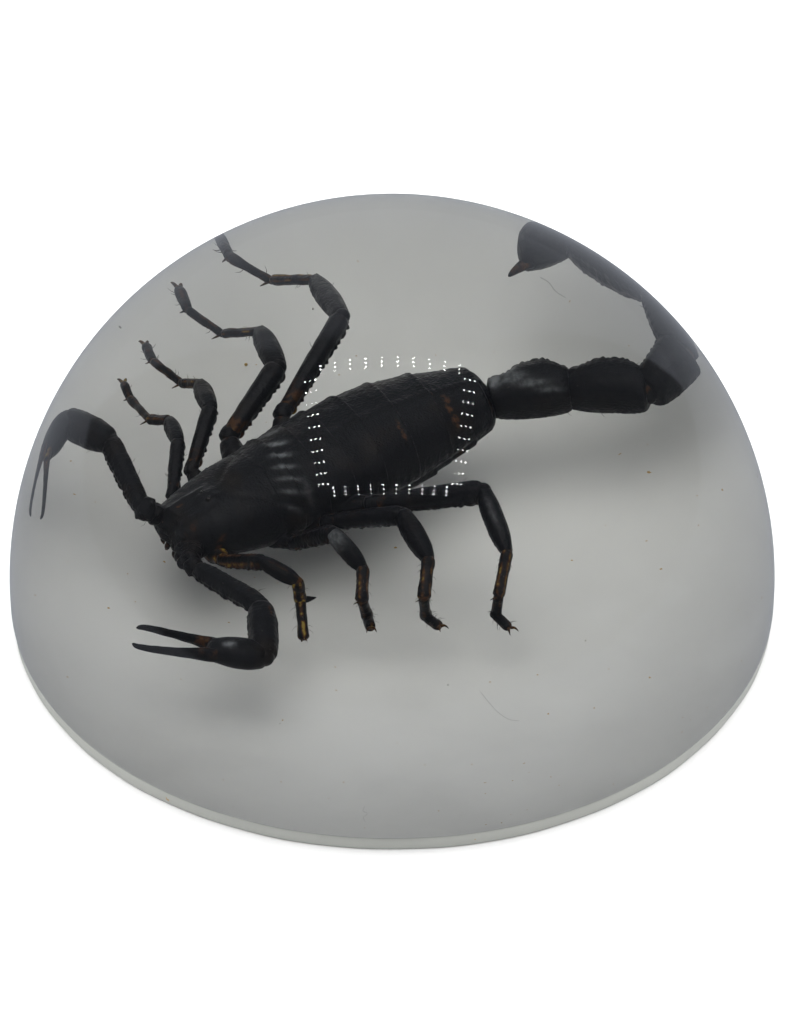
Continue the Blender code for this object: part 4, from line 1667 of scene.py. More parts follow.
@dataclass(frozen=True)
class LegPose:
    """How one leg lies: its hip, then each piece's heading and pitch, from the femur to the foot.

    Radii are the same pieces' middle radii, as they show from the front. A broken leg has no last piece.
    """

    hip: tuple[float, float, float]
    headings: tuple[float, ...]
    pitches: tuple[float, ...]
    radii: tuple[float, ...]

    @property
    def broken(self) -> bool:
        """Whether the leg ends in its foot's first piece."""
        return len(self.headings) < 5


@dataclass(frozen=True)
class LegSizes:
    """Sizes of a pair of legs: hip, femur, patella, tibia, basitarsus and telotarsus."""

    lengths: tuple[float, float, float, float, float]
    hip_radius: float


@dataclass(frozen=True)
class LimbStyle:
    """How one of a leg's pieces is shaped and dressed.

    The shape lists (share of the length, width, height), as shares of the piece's middle radius. Hairs
    are how many there are and how long.
    """

    shape: tuple[tuple[float, float, float], ...]
    keels: tuple[Keel, ...]
    grain: Grain
    amber: Tones
    ember: float
    stripes: int
    crest: float
    mesh: tuple[int, int]
    hairs: tuple[int, float]


FEMUR, PATELLA = 0, 1
LIMB_STYLES = (
    LimbStyle(
        ((0.0, 0.64, 0.66), (0.10, 0.78, 0.80), (0.5, 0.95, 0.98), (0.86, 1.02, 1.04), (1.0, 0.84, 0.86)),
        (Keel(63.0, 0.05, 9.0, 0.47), Keel(117.0, 0.05, 9.0, 0.41), Keel(333.0, 0.26, 11.0, 0.56, 0.55),
         Keel(243.0, 0.10, 9.0, 0.55), Keel(306.0, 0.18, 9.0, 0.66, 0.75), Keel(207.0, 0.08, 9.0, 0.5)),
        Grain(0.03, 0.26, 0.3, 0.04, 0.8), (0.55, 0.03, 0.14), 0.26, 0, 0.16, (84, 40), (7, 0.4),
    ),
    LimbStyle(
        ((0.0, 0.72, 0.72), (0.10, 0.86, 0.86), (0.42, 1.04, 1.02), (0.74, 0.94, 0.94), (0.93, 0.62, 0.62),
         (1.0, 0.44, 0.44)),
        (Keel(72.0, 0.05, 9.0), Keel(270.0, 0.08, 9.0, 0.5), Keel(189.0, 0.06, 8.0, 0.47),
         Keel(333.0, 0.07, 9.0, 0.52)),
        Grain(0.012, 0.30, 0.3, 0.04, 1.3), (0.16, 0.02, 0.36), 0.10, 0, 0.24, (76, 40), (5, 0.35),
    ),
    LimbStyle(
        ((0.0, 0.86, 0.86), (0.15, 1.0, 1.0), (0.5, 0.92, 0.96), (0.88, 1.02, 1.02), (1.0, 0.80, 0.80)),
        (Keel(60.0, 0.03, 12.0), Keel(120.0, 0.03, 12.0), Keel(270.0, 0.06, 12.0, 0.45),
         Keel(0.0, 0.05, 10.0, 0.5)),
        Grain(0.02, 0.24, 0.3, 0.05, 0.7), (0.42, 0.52, 0.55), 0.14, 5, 0.30, (48, 30), (8, 0.5),
    ),
    LimbStyle(
        ((0.0, 0.80, 0.80), (0.15, 0.95, 0.95), (0.6, 0.90, 0.95), (0.90, 1.06, 1.04), (1.0, 0.80, 0.80)),
        (Keel(90.0, 0.02, 14.0), Keel(270.0, 0.04, 14.0, 0.38), Keel(180.0, 0.03, 10.0, 0.4)),
        Grain(0.015, 0.24, 0.3, 0.05, 0.7), (0.55, 0.30, 0.36), 0.14, 4, 0.15, (40, 26), (9, 0.5),
    ),
    LimbStyle(
        ((0.0, 0.80, 0.80), (0.2, 1.0, 1.0), (0.6, 1.02, 1.04), (0.88, 1.0, 0.96), (1.0, 0.66, 0.66)),
        (Keel(90.0, 0.02, 14.0), Keel(255.0, 0.03, 10.0, 0.30), Keel(285.0, 0.03, 10.0, 0.26)),
        Grain(0.015, 0.24, 0.3, 0.05, 0.7), (0.40, 0.24, 0.50), 0.14, 3, 0.15, (34, 24), (11, 0.45),
    ),
)


@dataclass(frozen=True)
class Spike:
    """A pointed spike. Reaches are how far its points lie from where it grows."""

    reaches: tuple[float, ...]
    radius: float
    amber: Tones
    ember: float = 0.3
    middle: float = 0.72
    point: float = 0.02

    def path(self, root: Points, forward: Points) -> list[Points]:
        """The spike's points, straight out from its root."""
        return [root + forward * reach for reach in self.reaches]

    def sweep(self, path: list[Points]) -> Sweep:
        """The spike along a path."""
        profile = rounded(((0.0, self.radius), (0.5, self.radius * self.middle), (1.0, self.point)))
        return Sweep(path, profile, amber=self.amber, ember=self.ember, rings=20, sides=12)


@dataclass
class Leg:
    """One walking leg. Pale is how amber the whole limb has gone, and films are patches of painted
    silvery sheen, where air lies on the shell, on one piece of it.

    A way is a heading and a pitch. Claw bends are (share of the bent direction, reach), and splinters are
    (angle round the torn end, length).
    """

    side: Side
    pose: LegPose
    sizes: LegSizes
    pale: float = 0.0
    film_sheens: Sequence[Patch] = ()
    film_sheen_piece: int = PATELLA
    far_root: tuple[float, float] = (0.62, 0.46)
    broken_length: float = 3.3
    root_spacing: float = 0.72
    root_place: Place = (1.2, 1.2, 6.4)
    elbow_back: float = 0.2
    hip_shape: Shape = ((0.0, 0.9, 0.9, 0.9), (0.5, 0.98, 0.88, 0.9))
    hip_grain: Grain = Grain(0.07, 0.28, 0.3, 0.08, 0.8)
    hip_keel: Keel = Keel(60.0, 0.08, 12.0, 0.5)
    hip_paling: float = 1.6
    neck_shape: Shape = ((0.82, 1.10, 1.0, 1.05), (1.0, 0.86, 0.8, 0.85))
    ring_shape: Shape = ((0.0, 0.84, 0.84, 0.84), (0.5, 0.90, 0.90, 0.90), (1.0, 0.74, 0.74, 0.74))
    ring_grain: Grain = Grain(0.08, 0.25, 0.3, 0.12, 0.7)
    ring_ends: tuple[float, float] = (0.5, 0.8)
    limb_tuck: tuple[float, float] = (0.45, 0.40)
    patella_paling: float = 0.3
    knee_share: float = 0.84
    knee_tones: tuple[float, float] = (0.12, 0.40)
    torn_spur: Spike = Spike((-0.1, 0.5, 1.25), 0.34, (0.10, 0.02, 0.02))
    torn_spur_way: tuple[float, float] = (-28.0, 6.0)
    torn_spur_lift: float = 0.10
    spur: Spike = Spike((0.0, 0.42, 0.75), 0.09, (0.5, 0.45, 0.2))
    spur_way: tuple[float, float] = (168.0, -22.0)
    foot_spur: Spike = Spike((0.0, 0.30, 0.52), 0.08, (0.4, 0.4, 0.2))
    foot_spur_turn: float = 60.0
    foot_spur_dip: float = 18.0
    claw: Spike = Spike((0.35, 0.62), 0.15, (0.45, 0.62, 0.40))
    claw_length: float = 0.80
    claw_far: float = 0.7
    claw_tuck: float = 0.15
    claw_turn: float = 32.0
    claw_rise: float = 14.0
    claw_hook: tuple[float, float] = (0.4, -45.0)
    claw_bends: Sequence[tuple[float, float]] = ((1.0, 0.25), (2.0, 0.55))
    splinter: Spike = Spike((0.0, 0.6, 1.0), 0.12, (0.6, 0.6, 0.7))
    splinters: Sequence[tuple[float, float]] = (
        (20.0, 0.5), (100.0, 0.28), (170.0, 0.42), (250.0, 0.22), (310.0, 0.36)
    )
    splinter_ring: float = 0.17
    splinter_tuck: float = 0.1
    splinter_flare: float = 0.05

    @property
    def far(self) -> bool:
        """Whether the leg is on the specimen's far side."""
        return self.side is Side.RIGHT

    def joints(self) -> list[Points]:
        """The joints from the hip to the tip.

        Returns:
            The joints, in their order.
        """
        lengths = self.sizes.lengths
        if self.pose.broken:
            lengths = (*lengths[:3], self.broken_length)
        start = mirrored(self.pose.hip, self.side)
        return walk(start, lengths, self.pose.headings, self.pose.pitches, self.side)

    def hip(self) -> list[Sweep]:
        """The hip piece that grows from the body, and the short ring at its end.

        Returns:
            The hip piece and the ring.
        """
        hip, knee = self.joints()[:2]
        forward = unit(knee - hip)
        front, aside, height = self.root_place
        socket = mirrored((hip[0] * self.root_spacing + front, aside, height), self.side)
        elbow = hip - forward * self.elbow_back
        neck = self.pose.radii[0]
        profile = [*scaled(self.sizes.hip_radius, self.hip_shape), *scaled(neck, self.neck_shape)]
        coxa = Sweep(
            [socket, elbow], profile, grain=self.hip_grain, keels=(self.hip_keel,),
            amber=(0.1, 0.05 + self.hip_paling * self.pale, 0.34), ember=0.22, stripes=3, crest=0.25,
            roundness=0.10, rings=54, sides=40,
        )
        back, ahead = self.ring_ends
        ring = Sweep(
            [elbow - forward * back, hip + forward * ahead], scaled(neck, self.ring_shape),
            grain=self.ring_grain, amber=(0.30, 0.10 + self.pale, 0.35), ember=0.25, stripes=4,
            roundness=0.2, rings=36, sides=36,
        )
        return [coxa, ring]

    def limbs(self) -> list[Sweep]:
        """Femur, patella, tibia and the foot's pieces.

        Returns:
            The pieces, from the femur to the foot.
        """
        joints = self.joints()
        pieces = []
        for index, (style, start, end) in enumerate(zip(LIMB_STYLES, joints, joints[1:])):
            radius = self.pose.radii[index]
            forward = unit(end - start)
            profile = scaled(radius, [(share, width, tall, tall) for share, width, tall in style.shape])
            root, middle, tip = style.amber
            ember = style.ember
            if index == FEMUR and self.far:
                root, ember = self.far_root
            pale = self.pale * self.patella_paling if index == PATELLA else self.pale
            back, ahead = (radius * share for share in self.limb_tuck)
            pieces.append(Sweep(
                [start - forward * back, end + forward * ahead], profile, keels=style.keels,
                grain=style.grain, amber=(root, min(1.0, middle + pale), tip), ember=ember,
                stripes=style.stripes or (4 if self.pale else 0), crest=style.crest,
                film_sheens=self.film_sheens if index == self.film_sheen_piece else (), roundness=0.09, square=2.2,
                rings=style.mesh[0], sides=style.mesh[1],
            ))
        return pieces

    def knees(self) -> list[Sweep]:
        """Thin skin at the joints.

        Returns:
            One ball of skin a joint.
        """
        joints = self.joints()
        pieces = []
        for index, joint in enumerate(joints[1:-1]):
            size = min(self.pose.radii[index:index + 2]) * self.knee_share
            ahead = unit(joints[index + 2] - joints[index]) * size
            first, later = self.knee_tones
            tone = first if index == FEMUR else later
            pieces.append(Sweep.ball(joint, ahead, size, amber=(tone, tone, tone), rings=16, sides=20))
        return pieces

    def spikes(self) -> list[Sweep]:
        """The shin's spur, the foot's small spurs and the pair of hooked claws.

        Returns:
            The spikes.
        """
        joints = self.joints()
        ankle, foot, tip = joints[3], joints[-2], joints[-1]
        if self.pose.broken:
            path = self.torn_spur.path(ankle, aim(*self.torn_spur_way))
            path[-1] = path[-1] + UPWARD * self.torn_spur_lift
            return [self.torn_spur.sweep(path)]
        pieces = [self.spur.sweep(self.spur.path(ankle, aim(*self.spur_way)))]
        heading, pitch = self.pose.headings[3], self.pose.pitches[3] - self.foot_spur_dip
        for turn in (-self.foot_spur_turn, self.foot_spur_turn):
            out = aim(heading + turn, pitch, self.side)
            pieces.append(self.foot_spur.sweep(self.foot_spur.path(foot, out)))
        heading, pitch = self.pose.headings[4], self.pose.pitches[4]
        reach = self.claw_length * (self.claw_far if self.far else 1.0)
        closing, drop = self.claw_hook
        for turn in (-self.claw_turn, self.claw_turn):
            first = aim(heading + turn, pitch + self.claw_rise, self.side)
            second = aim(heading + turn * closing, pitch + drop, self.side)
            path = [tip - first * self.claw_tuck, *self.claw.path(tip, first * reach)]
            path += [path[2] + unit(first + second * bend) * reach * share for bend, share in self.claw_bends]
            pieces.append(self.claw.sweep(path))
        return pieces

    def stump(self) -> list[Sweep]:
        """The torn end of a broken leg: a few uneven splinters.

        Returns:
            The splinters, or none where the leg is whole.
        """
        if not self.pose.broken:
            return []
        joints = self.joints()
        forward = unit(joints[-1] - joints[-2])
        aside = unit(np.cross(forward, UPWARD))
        above = np.cross(aside, forward)
        pieces = []
        for angle, reach in self.splinters:
            turn = math.radians(angle)
            out = aside * math.cos(turn) + above * math.sin(turn)
            root = joints[-1] + out * self.splinter_ring - forward * self.splinter_tuck
            path = self.splinter.path(root, forward * reach)
            path[-1] = path[-1] + out * self.splinter_flare
            pieces.append(self.splinter.sweep(path))
        return pieces

    def build(self, bristles: Bristles) -> Skin:
        """Make the leg and set its hairs.

        Args:
            bristles: what gathers the hairs.

        Returns:
            The leg's skin.
        """
        limbs = self.limbs()
        for piece, style in zip(limbs, LIMB_STYLES):
            count, length = style.hairs
            bristles.over(piece, count // 2 if self.far else count, length * (0.8 if self.far else 1.0))
        pieces = (*self.hip(), *limbs, *self.knees(), *self.spikes(), *self.stump())
        return Skin.joined(piece.skin() for piece in pieces)


@dataclass
class Scorpion:
    """The whole specimen. Its legs run from the front pair to the last.

    Leg films are the near legs' patches of painted silvery sheen, where air lies on the shell, by their
    place in that row.
    """

    shell: ShellFinish = ShellFinish()
    eye: EyeFinish = EyeFinish()
    sizes: tuple[LegSizes, ...] = (
        LegSizes((4.2, 3.0, 2.0, 4.1, 1.5), 0.95), LegSizes((4.7, 3.6, 2.7, 3.0, 1.8), 1.00),
        LegSizes((6.0, 4.4, 3.4, 2.8, 1.8), 1.15), LegSizes((8.3, 5.6, 3.8, 2.4, 1.7), 1.30),
    )
    far_legs: tuple[LegPose, ...] = (
        LegPose((3.25, 3.9, 7.6), (52, 66, 102, 69, 64), (17, -16, -36, -27, -11),
                (0.52, 0.56, 0.34, 0.28, 0.27)),
        LegPose((5.9, 5.3, 7.6), (41, 67, 85, 90, 62), (25, -19, -45, -16, -21),
                (0.56, 0.64, 0.31, 0.27, 0.29)),
        LegPose((10.0, 6.7, 7.7), (24, 73, 114, 99, 61), (20, -16, -41, -14, -23),
                (0.74, 0.75, 0.27, 0.26, 0.31)),
        LegPose((13.8, 5.9, 8.8), (31, 79, 116, 124, 55), (14, -27, -42, 1, -46),
                (0.66, 0.69, 0.27, 0.25, 0.29)),
    )
    near_legs: tuple[LegPose, ...] = (
        LegPose((2.7, 4.3, 7.3), (73, 50, -6, 115), (28, -20, -79, -25), (0.56, 0.62, 0.48, 0.44)),
        LegPose((8.6, 4.7, 7.0), (71, 73, 120, -45, 111), (40, -27, -24, -61, 9),
                (0.63, 0.68, 0.51, 0.45, 0.39)),
        LegPose((11.5, 4.5, 7.7), (44, 90, 124, -56, 83), (20, -16, -22, -69, 8),
                (0.66, 0.80, 0.51, 0.44, 0.38)),
        LegPose((14.9, 5.1, 8.4), (32, 96, 127, -94, 79), (13, -19, -22, -74, -5),
                (0.82, 0.76, 0.47, 0.41, 0.37)),
    )
    broken_pale: float = 0.42
    # The near legs' patches of painted silvery sheen, and the leg whose femur, not its patella, carries them.
    femur_sheen_leg: int = 2
    leg_film_sheens: dict[int, tuple[Patch, ...]] = field(default_factory=lambda: {
        1: (Patch(0.18, 20.0, 0.26, 90.0, 0.66),),
        2: (Patch(0.62, 325.0, 0.26, 22.0, 0.55), Patch(0.30, 320.0, 0.16, 16.0, 0.40)),
        3: (Patch(0.42, 80.0, 0.30, 24.0, 0.36),),
    })
    far_pincer: PincerPose = PincerPose(
        (-0.9, 2.3, 9.0), (76, 99, -159, -138), (3, -16, 6, -7), (8.0, 8.0),
        ((0.05, 0.60, 1.05, 0.1), (0.40, 0.86, 0.82, 0.1), (0.66, 1.16, 0.98, -0.1), (0.84, 1.10, 0.72, -0.75)),
        0.88, 0.45,
    )
    near_pincer: PincerPose = PincerPose(
        (-1.0, 5.5, 8.8), (76, 118, -139.5, -132), (4, -13, -1, -4), (7.5, 10.0),
        ((0.04, 0.44, 1.02, 0.30), (0.34, 0.66, 0.92, 0.45), (0.60, 0.88, 0.88, 0.45), (0.82, 1.08, 0.78, 0.20),
         (0.14, 0.36, 0.55, 1.05), (0.42, 0.62, 0.55, 1.20), (0.70, 0.90, 0.52, 1.05)),
        0.92, 0.85,
    )

    def build(self) -> None:
        """Make every piece of the specimen."""
        shell = self.shell.material()
        bristles = Bristles()
        trunk = Trunk()
        self.add("scorpion_trunk", trunk.back(), shell)
        self.add("scorpion_jaws", Jaws().skin(), shell)
        self.add("scorpion_combs", Combs().skin(), shell)
        self.add("scorpion_eyes", trunk.eyes(), self.eye.material())
        self.add("scorpion_tail", Tail().build(bristles), shell)
        for side, pose in ((Side.RIGHT, self.far_pincer), (Side.LEFT, self.near_pincer)):
            pincer = Pincer(side, pose, spot=side is Side.LEFT)
            self.add(f"scorpion_pincer_{side.name.lower()}", pincer.build(bristles), shell)
        for side, poses in ((Side.RIGHT, self.far_legs), (Side.LEFT, self.near_legs)):
            skins = []
            for index, (pose, sizes) in enumerate(zip(poses, self.sizes)):
                leg = Leg(side, pose, sizes, pale=self.broken_pale if pose.broken else 0.0)
                if side is Side.LEFT:
                    leg.film_sheens = self.leg_film_sheens.get(index, ())
                    leg.film_sheen_piece = FEMUR if index == self.femur_sheen_leg else PATELLA
                skins.append(leg.build(bristles))
            self.add(f"scorpion_legs_{side.name.lower()}", Skin.joined(skins), shell)
        self.add("scorpion_bristles", Skin.joined(bristles.skins), shell)

    @staticmethod
    def add(name: str, skin: Skin, material: bpy.types.Material) -> None:
        """Add a piece of the specimen, which stands for its solid."""
        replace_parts(add_piece(name, skin, material, specimen=True), "scorpion")


@dataclass
class Casting:
    """The clear half ball, one piece where the solids have two, and the white disc under it."""

    radius: float = 40.0
    centre_height: float = 1.9
    disc_thickness: float = 1.6
    disc_bevel: float = 0.25
    bevel_steps: int = 4
    rim_wave: float = 0.05
    wavy_from: float = 0.96
    sink: float = 0.06
    rim_bevel: float = 0.12
    sides: int = 320
    arc_steps: int = 150

    def turned(self, outline: Sequence[tuple[float, float]]) -> Skin:
        """A turned skin.

        Args:
            outline: (radius, height) from the top's middle down the outer side to the bottom's middle,
                the two middles left out.

        Returns:
            The skin, in the row frame.
        """
        turn = turns(self.sides)[None, :]
        radius, height = np.hsplit(np.asarray(outline, float), 2)
        rings = np.stack([
            radius * np.cos(turn), radius * np.sin(turn), np.repeat(height, self.sides, axis=1)
        ], axis=-1)
        return Skin.grid(rings[:, ::-1], np.zeros(rings.shape[:2]))

    def dome(self) -> Skin:
        """The clear piece. Its underside lies just under the disc's top, where the two are bonded.

        Returns:
            The dome's skin.
        """
        top = []
        for step in range(1, self.arc_steps + 1):
            rise = math.pi / 2.0 * (1.0 - step / self.arc_steps)
            top.append((self.radius * math.cos(rise), self.centre_height + self.radius * math.sin(rise)))
        floor = self.disc_thickness - self.sink
        top += [(self.radius, floor + self.rim_bevel), (self.radius - self.rim_bevel, floor)]
        top += [(self.radius * share, floor) for share in (0.8, 0.5, 0.2, 0.02)]
        return self.turned(top)

    def disc(self) -> Skin:
        """The white disc, its edges eased and its rim a little uneven.

        Returns:
            The disc's skin.
        """
        edge, radius, thickness = self.disc_bevel, self.radius, self.disc_thickness
        bends = [math.pi / 2.0 * step / self.bevel_steps for step in range(self.bevel_steps + 1)]
        bevel = [(edge * math.sin(bend) - edge, edge * math.cos(bend) - edge) for bend in bends]
        outline = [(radius * share, thickness) for share in (0.02, 0.2, 0.4, 0.6, 0.8, 0.95)]
        outline += [(radius + inwards, thickness + down) for inwards, down in bevel]
        outline += [(radius + inwards, -down) for inwards, down in reversed(bevel)]
        outline += [(radius * share, 0.0) for share in (0.95, 0.6, 0.3, 0.02)]
        skin = self.turned(outline)
        turn = np.arctan2(skin.points[:, 1], skin.points[:, 0])
        reach = np.hypot(skin.points[:, 0], skin.points[:, 1])
        wave = np.sin(turn * 5.0 + 0.7) + 0.6 * np.sin(turn * 13.0) + 0.4 * np.sin(turn * 31.0 + 2.0) - 2.0
        outer = rising(reach - radius * self.wavy_from, radius * (1.0 - self.wavy_from))
        skin.points[:, :2] *= (1.0 + self.rim_wave * wave * outer / radius)[:, None]
        # The first tone marks the rim, where the backing's painted shade goes.
        skin.tones[:, 0] = (reach > radius - edge * 0.7) * 1.0
        return skin

    def build(self) -> None:
        """Make the dome and the disc."""
        dome = add_piece("resin_dome", self.dome(), ResinFinish().material(), specimen=False)
        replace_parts(dome, "resin_upper", "resin_lower")
        white = BackingFinish().material()
        disc = add_piece("backing_disc", self.disc(), white, specimen=False)
        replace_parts(disc, "backing")


@dataclass
class Specks:
    """Lint and dust caught in the resin near its floor.

    Threads are lines of (x, y) places, and specks are (x, y, radius, how warm their colour is).
    """

    floor: float = 1.75
    thread_radii: tuple[tuple[float, float], ...] = ((0.0, 0.013), (1.0, 0.010))
    threads: tuple[tuple[tuple[float, float], ...], ...] = (
        ((6.8, -14.2), (7.7, -16.0), (8.6, -17.5), (9.5, -18.4), (10.3, -18.6)),
        ((-2.4, -33.0), (-2.6, -33.9), (-2.2, -34.5), (-2.6, -35.4), (-2.4, -36.5)),
        ((7.8, 25.3), (8.3, 25.0), (8.8, 24.5), (9.4, 24.1)),
    )
    specks: tuple[tuple[float, float, float, float], ...] = (
        (4.3, -13.4, 0.05, 0.0), (-8.7, 19.9, 0.09, 1.0), (14.5, -7.8, 0.05, 0.3), (-4.5, 23.9, 0.05, 0.1),
        (-14.9, 21.6, 0.05, 0.0), (10.5, -37.6, 0.07, 0.9), (-9.0, -19.0, 0.04, 0.0),
    )

    def build(self) -> None:
        """Make the lint and the specks."""
        skins = []
        for thread in self.threads:
            path = [np.array([x, y, self.floor + 0.1]) for x, y in thread]
            skins.append(Sweep(path, rounded(self.thread_radii), rings=40, sides=6).skin())
        for x, y, size, warm in self.specks:
            place = np.array([x, y, self.floor + 0.15])
            half = np.array([size, size * 0.4, 0.0])
            skins.append(Sweep(
                [place - half, place + half], rounded(((0.0, size), (1.0, size * 0.7))),
                amber=(warm, warm, warm), grain=Grain(0.03, 0.08, 0.1), roundness=0.5, rings=14, sides=12,
            ).skin())
        add_piece("trapped_specks", Skin.joined(skins), SpeckFinish().material(), specimen=False)


@dataclass(frozen=True)
class FloorFinish:
    """Plain pale studio sweep."""

    name: str = "pale_floor"
    pale: Colour = (0.92, 0.92, 0.92)
    paler: Colour = (0.94, 0.94, 0.94)

    def material(self) -> bpy.types.Material:
        """Make the finish.

        Returns:
            The material.
        """
        sheet = Sheet(self.name)
        sheet.feed("Base Color", sheet.mix(sheet.noise(12.0), self.pale, self.paler))
        sheet.set(Roughness=0.9)
        return sheet.material


@dataclass
class Studio:
    """The pale floor, the soft light and the camera."""

    focal_pixels: float = 3421.7
    distance: float = 360.0
    elevation: float = 37.80
    target_x_pixel: float = 392.26
    target_y_pixel: float = 575.25
    target_height: float = 1.9
    sensor: float = 36.0
    floor_half: float = 1200.0
    room_light: float = 0.095
    mirrored_tint: Colour = (0.92, 0.98, 1.11)
    backdrop_light: float = 0.40
    table_light: float = 0.34
    open_light: float = 1.0
    inner_light: tuple[float, float] = (0.08, 1.60)
    inner_edge: tuple[float, float] = (-0.2, 0.8)
    inner_beside: float = 0.9
    backdrop_corner: tuple[float, float] = (0.935, 0.10)
    corner_edge: tuple[float, float] = (-0.01, 0.04)
    table_edge: tuple[float, float] = (-0.02, 0.02)
    backdrop_top: tuple[float, float] = (0.34, 0.48)
    lamp_height: float = 1.5
    lamp_forward: float = -0.20
    lamp_reach: float = 34.0
    lamp_light: float = 2.62
    ring_half: float = 0.357
    ring_middle: tuple[float, float] = (-0.01, -0.135)
    ring_groups: int = 10
    ring_span: float = 0.95
    ring_drop: float = 0.98
    ring_spacing: float = 0.0255
    ring_dot: float = 0.0046
    dot_corners: int = 8
    ring_light: float = 55.0

    def camera(self) -> None:
        """Set the camera at the photograph's viewing angle."""
        rise = math.radians(self.elevation)
        forward = np.array([0.0, math.cos(rise), -math.sin(rise)])
        right = np.array([1.0, 0.0, 0.0])
        up = np.cross(right, forward)
        aside = (self.target_x_pixel - PHOTO_WIDTH / 2.0) / self.focal_pixels
        above = -(self.target_y_pixel - PHOTO_HEIGHT / 2.0) / self.focal_pixels
        target = np.array([0.0, 0.0, self.target_height])
        place = target - self.distance * (forward + aside * right + above * up)
        data = bpy.data.cameras.new("camera")
        data.sensor_width = self.sensor
        data.lens = self.focal_pixels * self.sensor / PHOTO_HEIGHT
        data.clip_start = 0.01
        data.clip_end = 20.0
        camera = bpy.data.objects.new("camera", data)
        camera.location = Vector(place * MM)
        camera.rotation_euler = Vector(forward).to_track_quat("-Z", "Y").to_euler()
        bpy.context.scene.collection.objects.link(camera)
        bpy.context.scene.camera = camera

    def floor(self) -> None:
        """A pale floor well past the picture's edges."""
        half = self.floor_half * MM
        corners = [(-half, -half, 0.0), (half, -half, 0.0), (half, half, 0.0), (-half, half, 0.0)]
        floor = self.staged("studio_floor", corners, [(0, 1, 2, 3)], FloorFinish().material())
        floor.visible_glossy = False

    @staticmethod
    def staged(
        name: str, points: list[tuple[float, ...]], faces: list[tuple[int, ...]], material: bpy.types.Material
    ) -> bpy.types.Object:
        """Make a mesh of the studio, which isn't part of the object.

        Args:
            name: its name.
            points: its points, in metres.
            faces: its faces.
            material: its finish.

        Returns:
            The object.
        """
        mesh = bpy.data.meshes.new(name)
        mesh.from_pydata(points, [], faces)
        mesh.materials.append(material)
        thing = bpy.data.objects.new(name, mesh)
        bpy.context.scene.collection.objects.link(thing)
        return thing

    def sky(self) -> None:
        """Soft room light: a pale backdrop between two corners of the room, in front of a dim room."""
        world = bpy.data.worlds.new("studio")
        bpy.context.scene.world = world
        world.use_nodes = True
        graph = Graph(world.node_tree)
        way = graph.nodes.new("ShaderNodeTexCoord")
        split = graph.nodes.new("ShaderNodeSeparateXYZ")
        graph.links.new(way.outputs["Generated"], split.inputs[0])
        x, y, z = (split.outputs[axis] for axis in "XYZ")
        both, right = self.backdrop_corner
        aside = graph.math("MULTIPLY", graph.math("ABSOLUTE", x), both)
        aside = graph.math("ADD", aside, graph.math("MULTIPLY", x, right))
        corner = graph.ramp(graph.math("SUBTRACT", y, aside), *self.corner_edge)
        backdrop = graph.math("MULTIPLY", corner, graph.ramp(y, *self.backdrop_top))
        room = graph.between(backdrop, self.room_light, self.backdrop_light)
        mirrored = graph.between(graph.ramp(z, *self.table_edge), self.table_light, room)
        beside = graph.math("MULTIPLY", graph.math("ABSOLUTE", x), self.inner_beside)
        inner = graph.ramp(graph.math("ADD", y, beside), *self.inner_edge, self.inner_light)
        seen = graph.nodes.new("ShaderNodeLightPath")
        light = graph.between(seen.outputs["Is Glossy Ray"], inner, mirrored)
        light = graph.between(seen.outputs["Is Camera Ray"], light, self.open_light)
        graph.links.new(light, graph.nodes["Background"].inputs["Strength"])
        tint = graph.mix(seen.outputs["Is Glossy Ray"], (1.0, 1.0, 1.0), self.mirrored_tint)
        graph.links.new(tint, graph.nodes["Background"].inputs["Color"])

    def ring(self) -> None:
        """The overhead light's square ring of small bright dots, three in a row, which the dome mirrors."""
        points, faces = [], []
        middle_x, middle_y = self.ring_middle
        for group in range(self.ring_groups):
            place = self.ring_span * self.ring_half * (2.0 * (group + 0.5) / self.ring_groups - 1.0)
            for step in (-1.0, 0.0, 1.0):
                reach = self.ring_half + step * self.ring_spacing
                for x, y in ((place, reach), (place, -reach), (reach, place), (-reach, place)):
                    faces.append(tuple(range(len(points), len(points) + self.dot_corners)))
                    for corner in range(self.dot_corners):
                        turn = FULL_TURN * (corner + 0.5) / self.dot_corners
                        dot_x = x + middle_x + self.ring_dot * math.cos(turn)
                        dot_y = y + middle_y + self.ring_dot * math.sin(turn)
                        height = self.lamp_height
                        points.append((height * dot_x, height * dot_y, height * self.ring_drop))
        dots = self.staged("lamp_dots", points, faces, self.glow())
        dots.visible_camera = dots.visible_diffuse = dots.visible_transmission = dots.visible_shadow = False

    def glow(self) -> bpy.types.Material:
        """The dots' glow, for mirrored rays that haven't been scattered.

        Returns:
            The material.
        """
        sheet = Sheet("lamp_dots")
        sheet.set(Emission_Color=(1.0, 1.0, 1.0, 1.0))
        bounced = sheet.nodes.new("ShaderNodeLightPath").outputs["Diffuse Depth"]
        direct = sheet.math("LESS_THAN", bounced, 0.5)
        sheet.feed("Emission Strength", sheet.math("MULTIPLY", direct, self.ring_light))
        return sheet.material

    def lamp(self) -> None:
        """A broad soft lamp overhead, left out of reflections."""
        light = bpy.data.lights.new("soft_lamp", "AREA")
        light.shape = "DISK"
        radius = self.lamp_height * math.tan(math.radians(self.lamp_reach))
        light.size = 2.0 * radius
        light.energy = self.lamp_light * math.pi * math.pi * radius ** 2
        lamp = bpy.data.objects.new("soft_lamp", light)
        lamp.location = (0.0, self.lamp_forward, self.lamp_height)
        lamp.visible_glossy = False
        bpy.context.scene.collection.objects.link(lamp)

    def build(self) -> None:
        """Make the camera, the floor and the light."""
        self.camera()
        self.floor()
        self.sky()
        self.lamp()
        self.ring()


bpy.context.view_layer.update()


def main() -> None:
    """Build the specimen, the casting and the studio."""
    logging.basicConfig(level=logging.INFO, format="%(message)s")
    Scorpion().build()
    Casting().build()
    Specks().build()
    Studio().build()
    bpy.context.scene.view_settings.view_transform = "Standard"


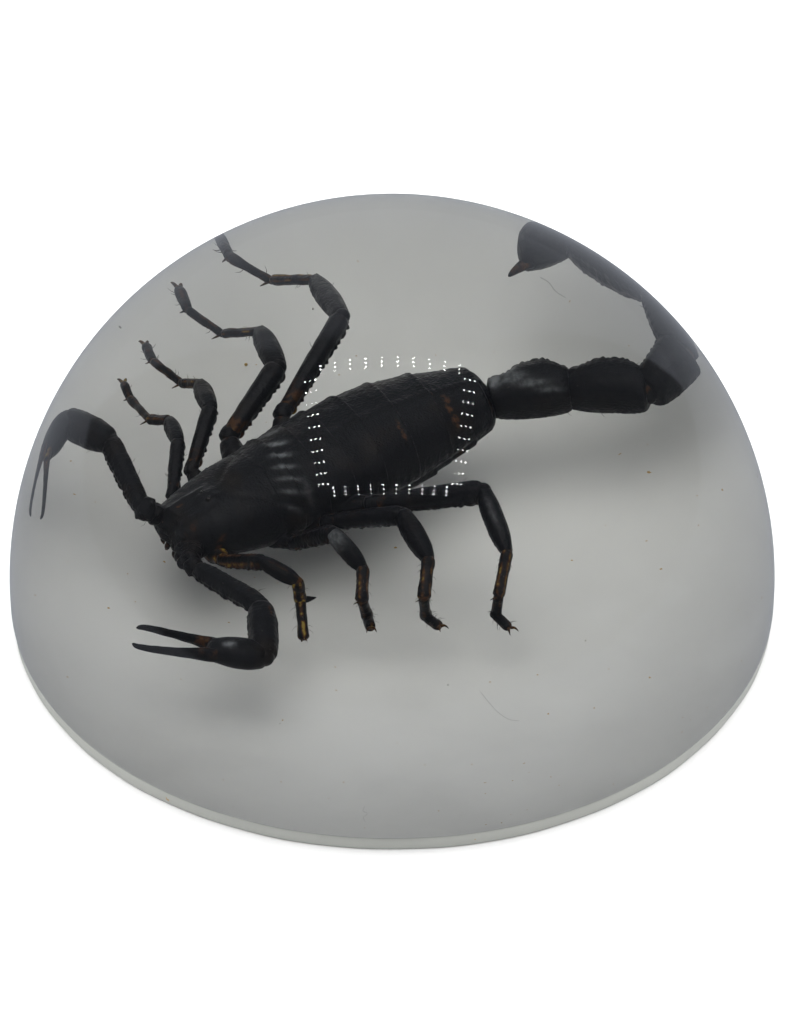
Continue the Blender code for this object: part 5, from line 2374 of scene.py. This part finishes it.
if __name__ == "__main__":
    main()
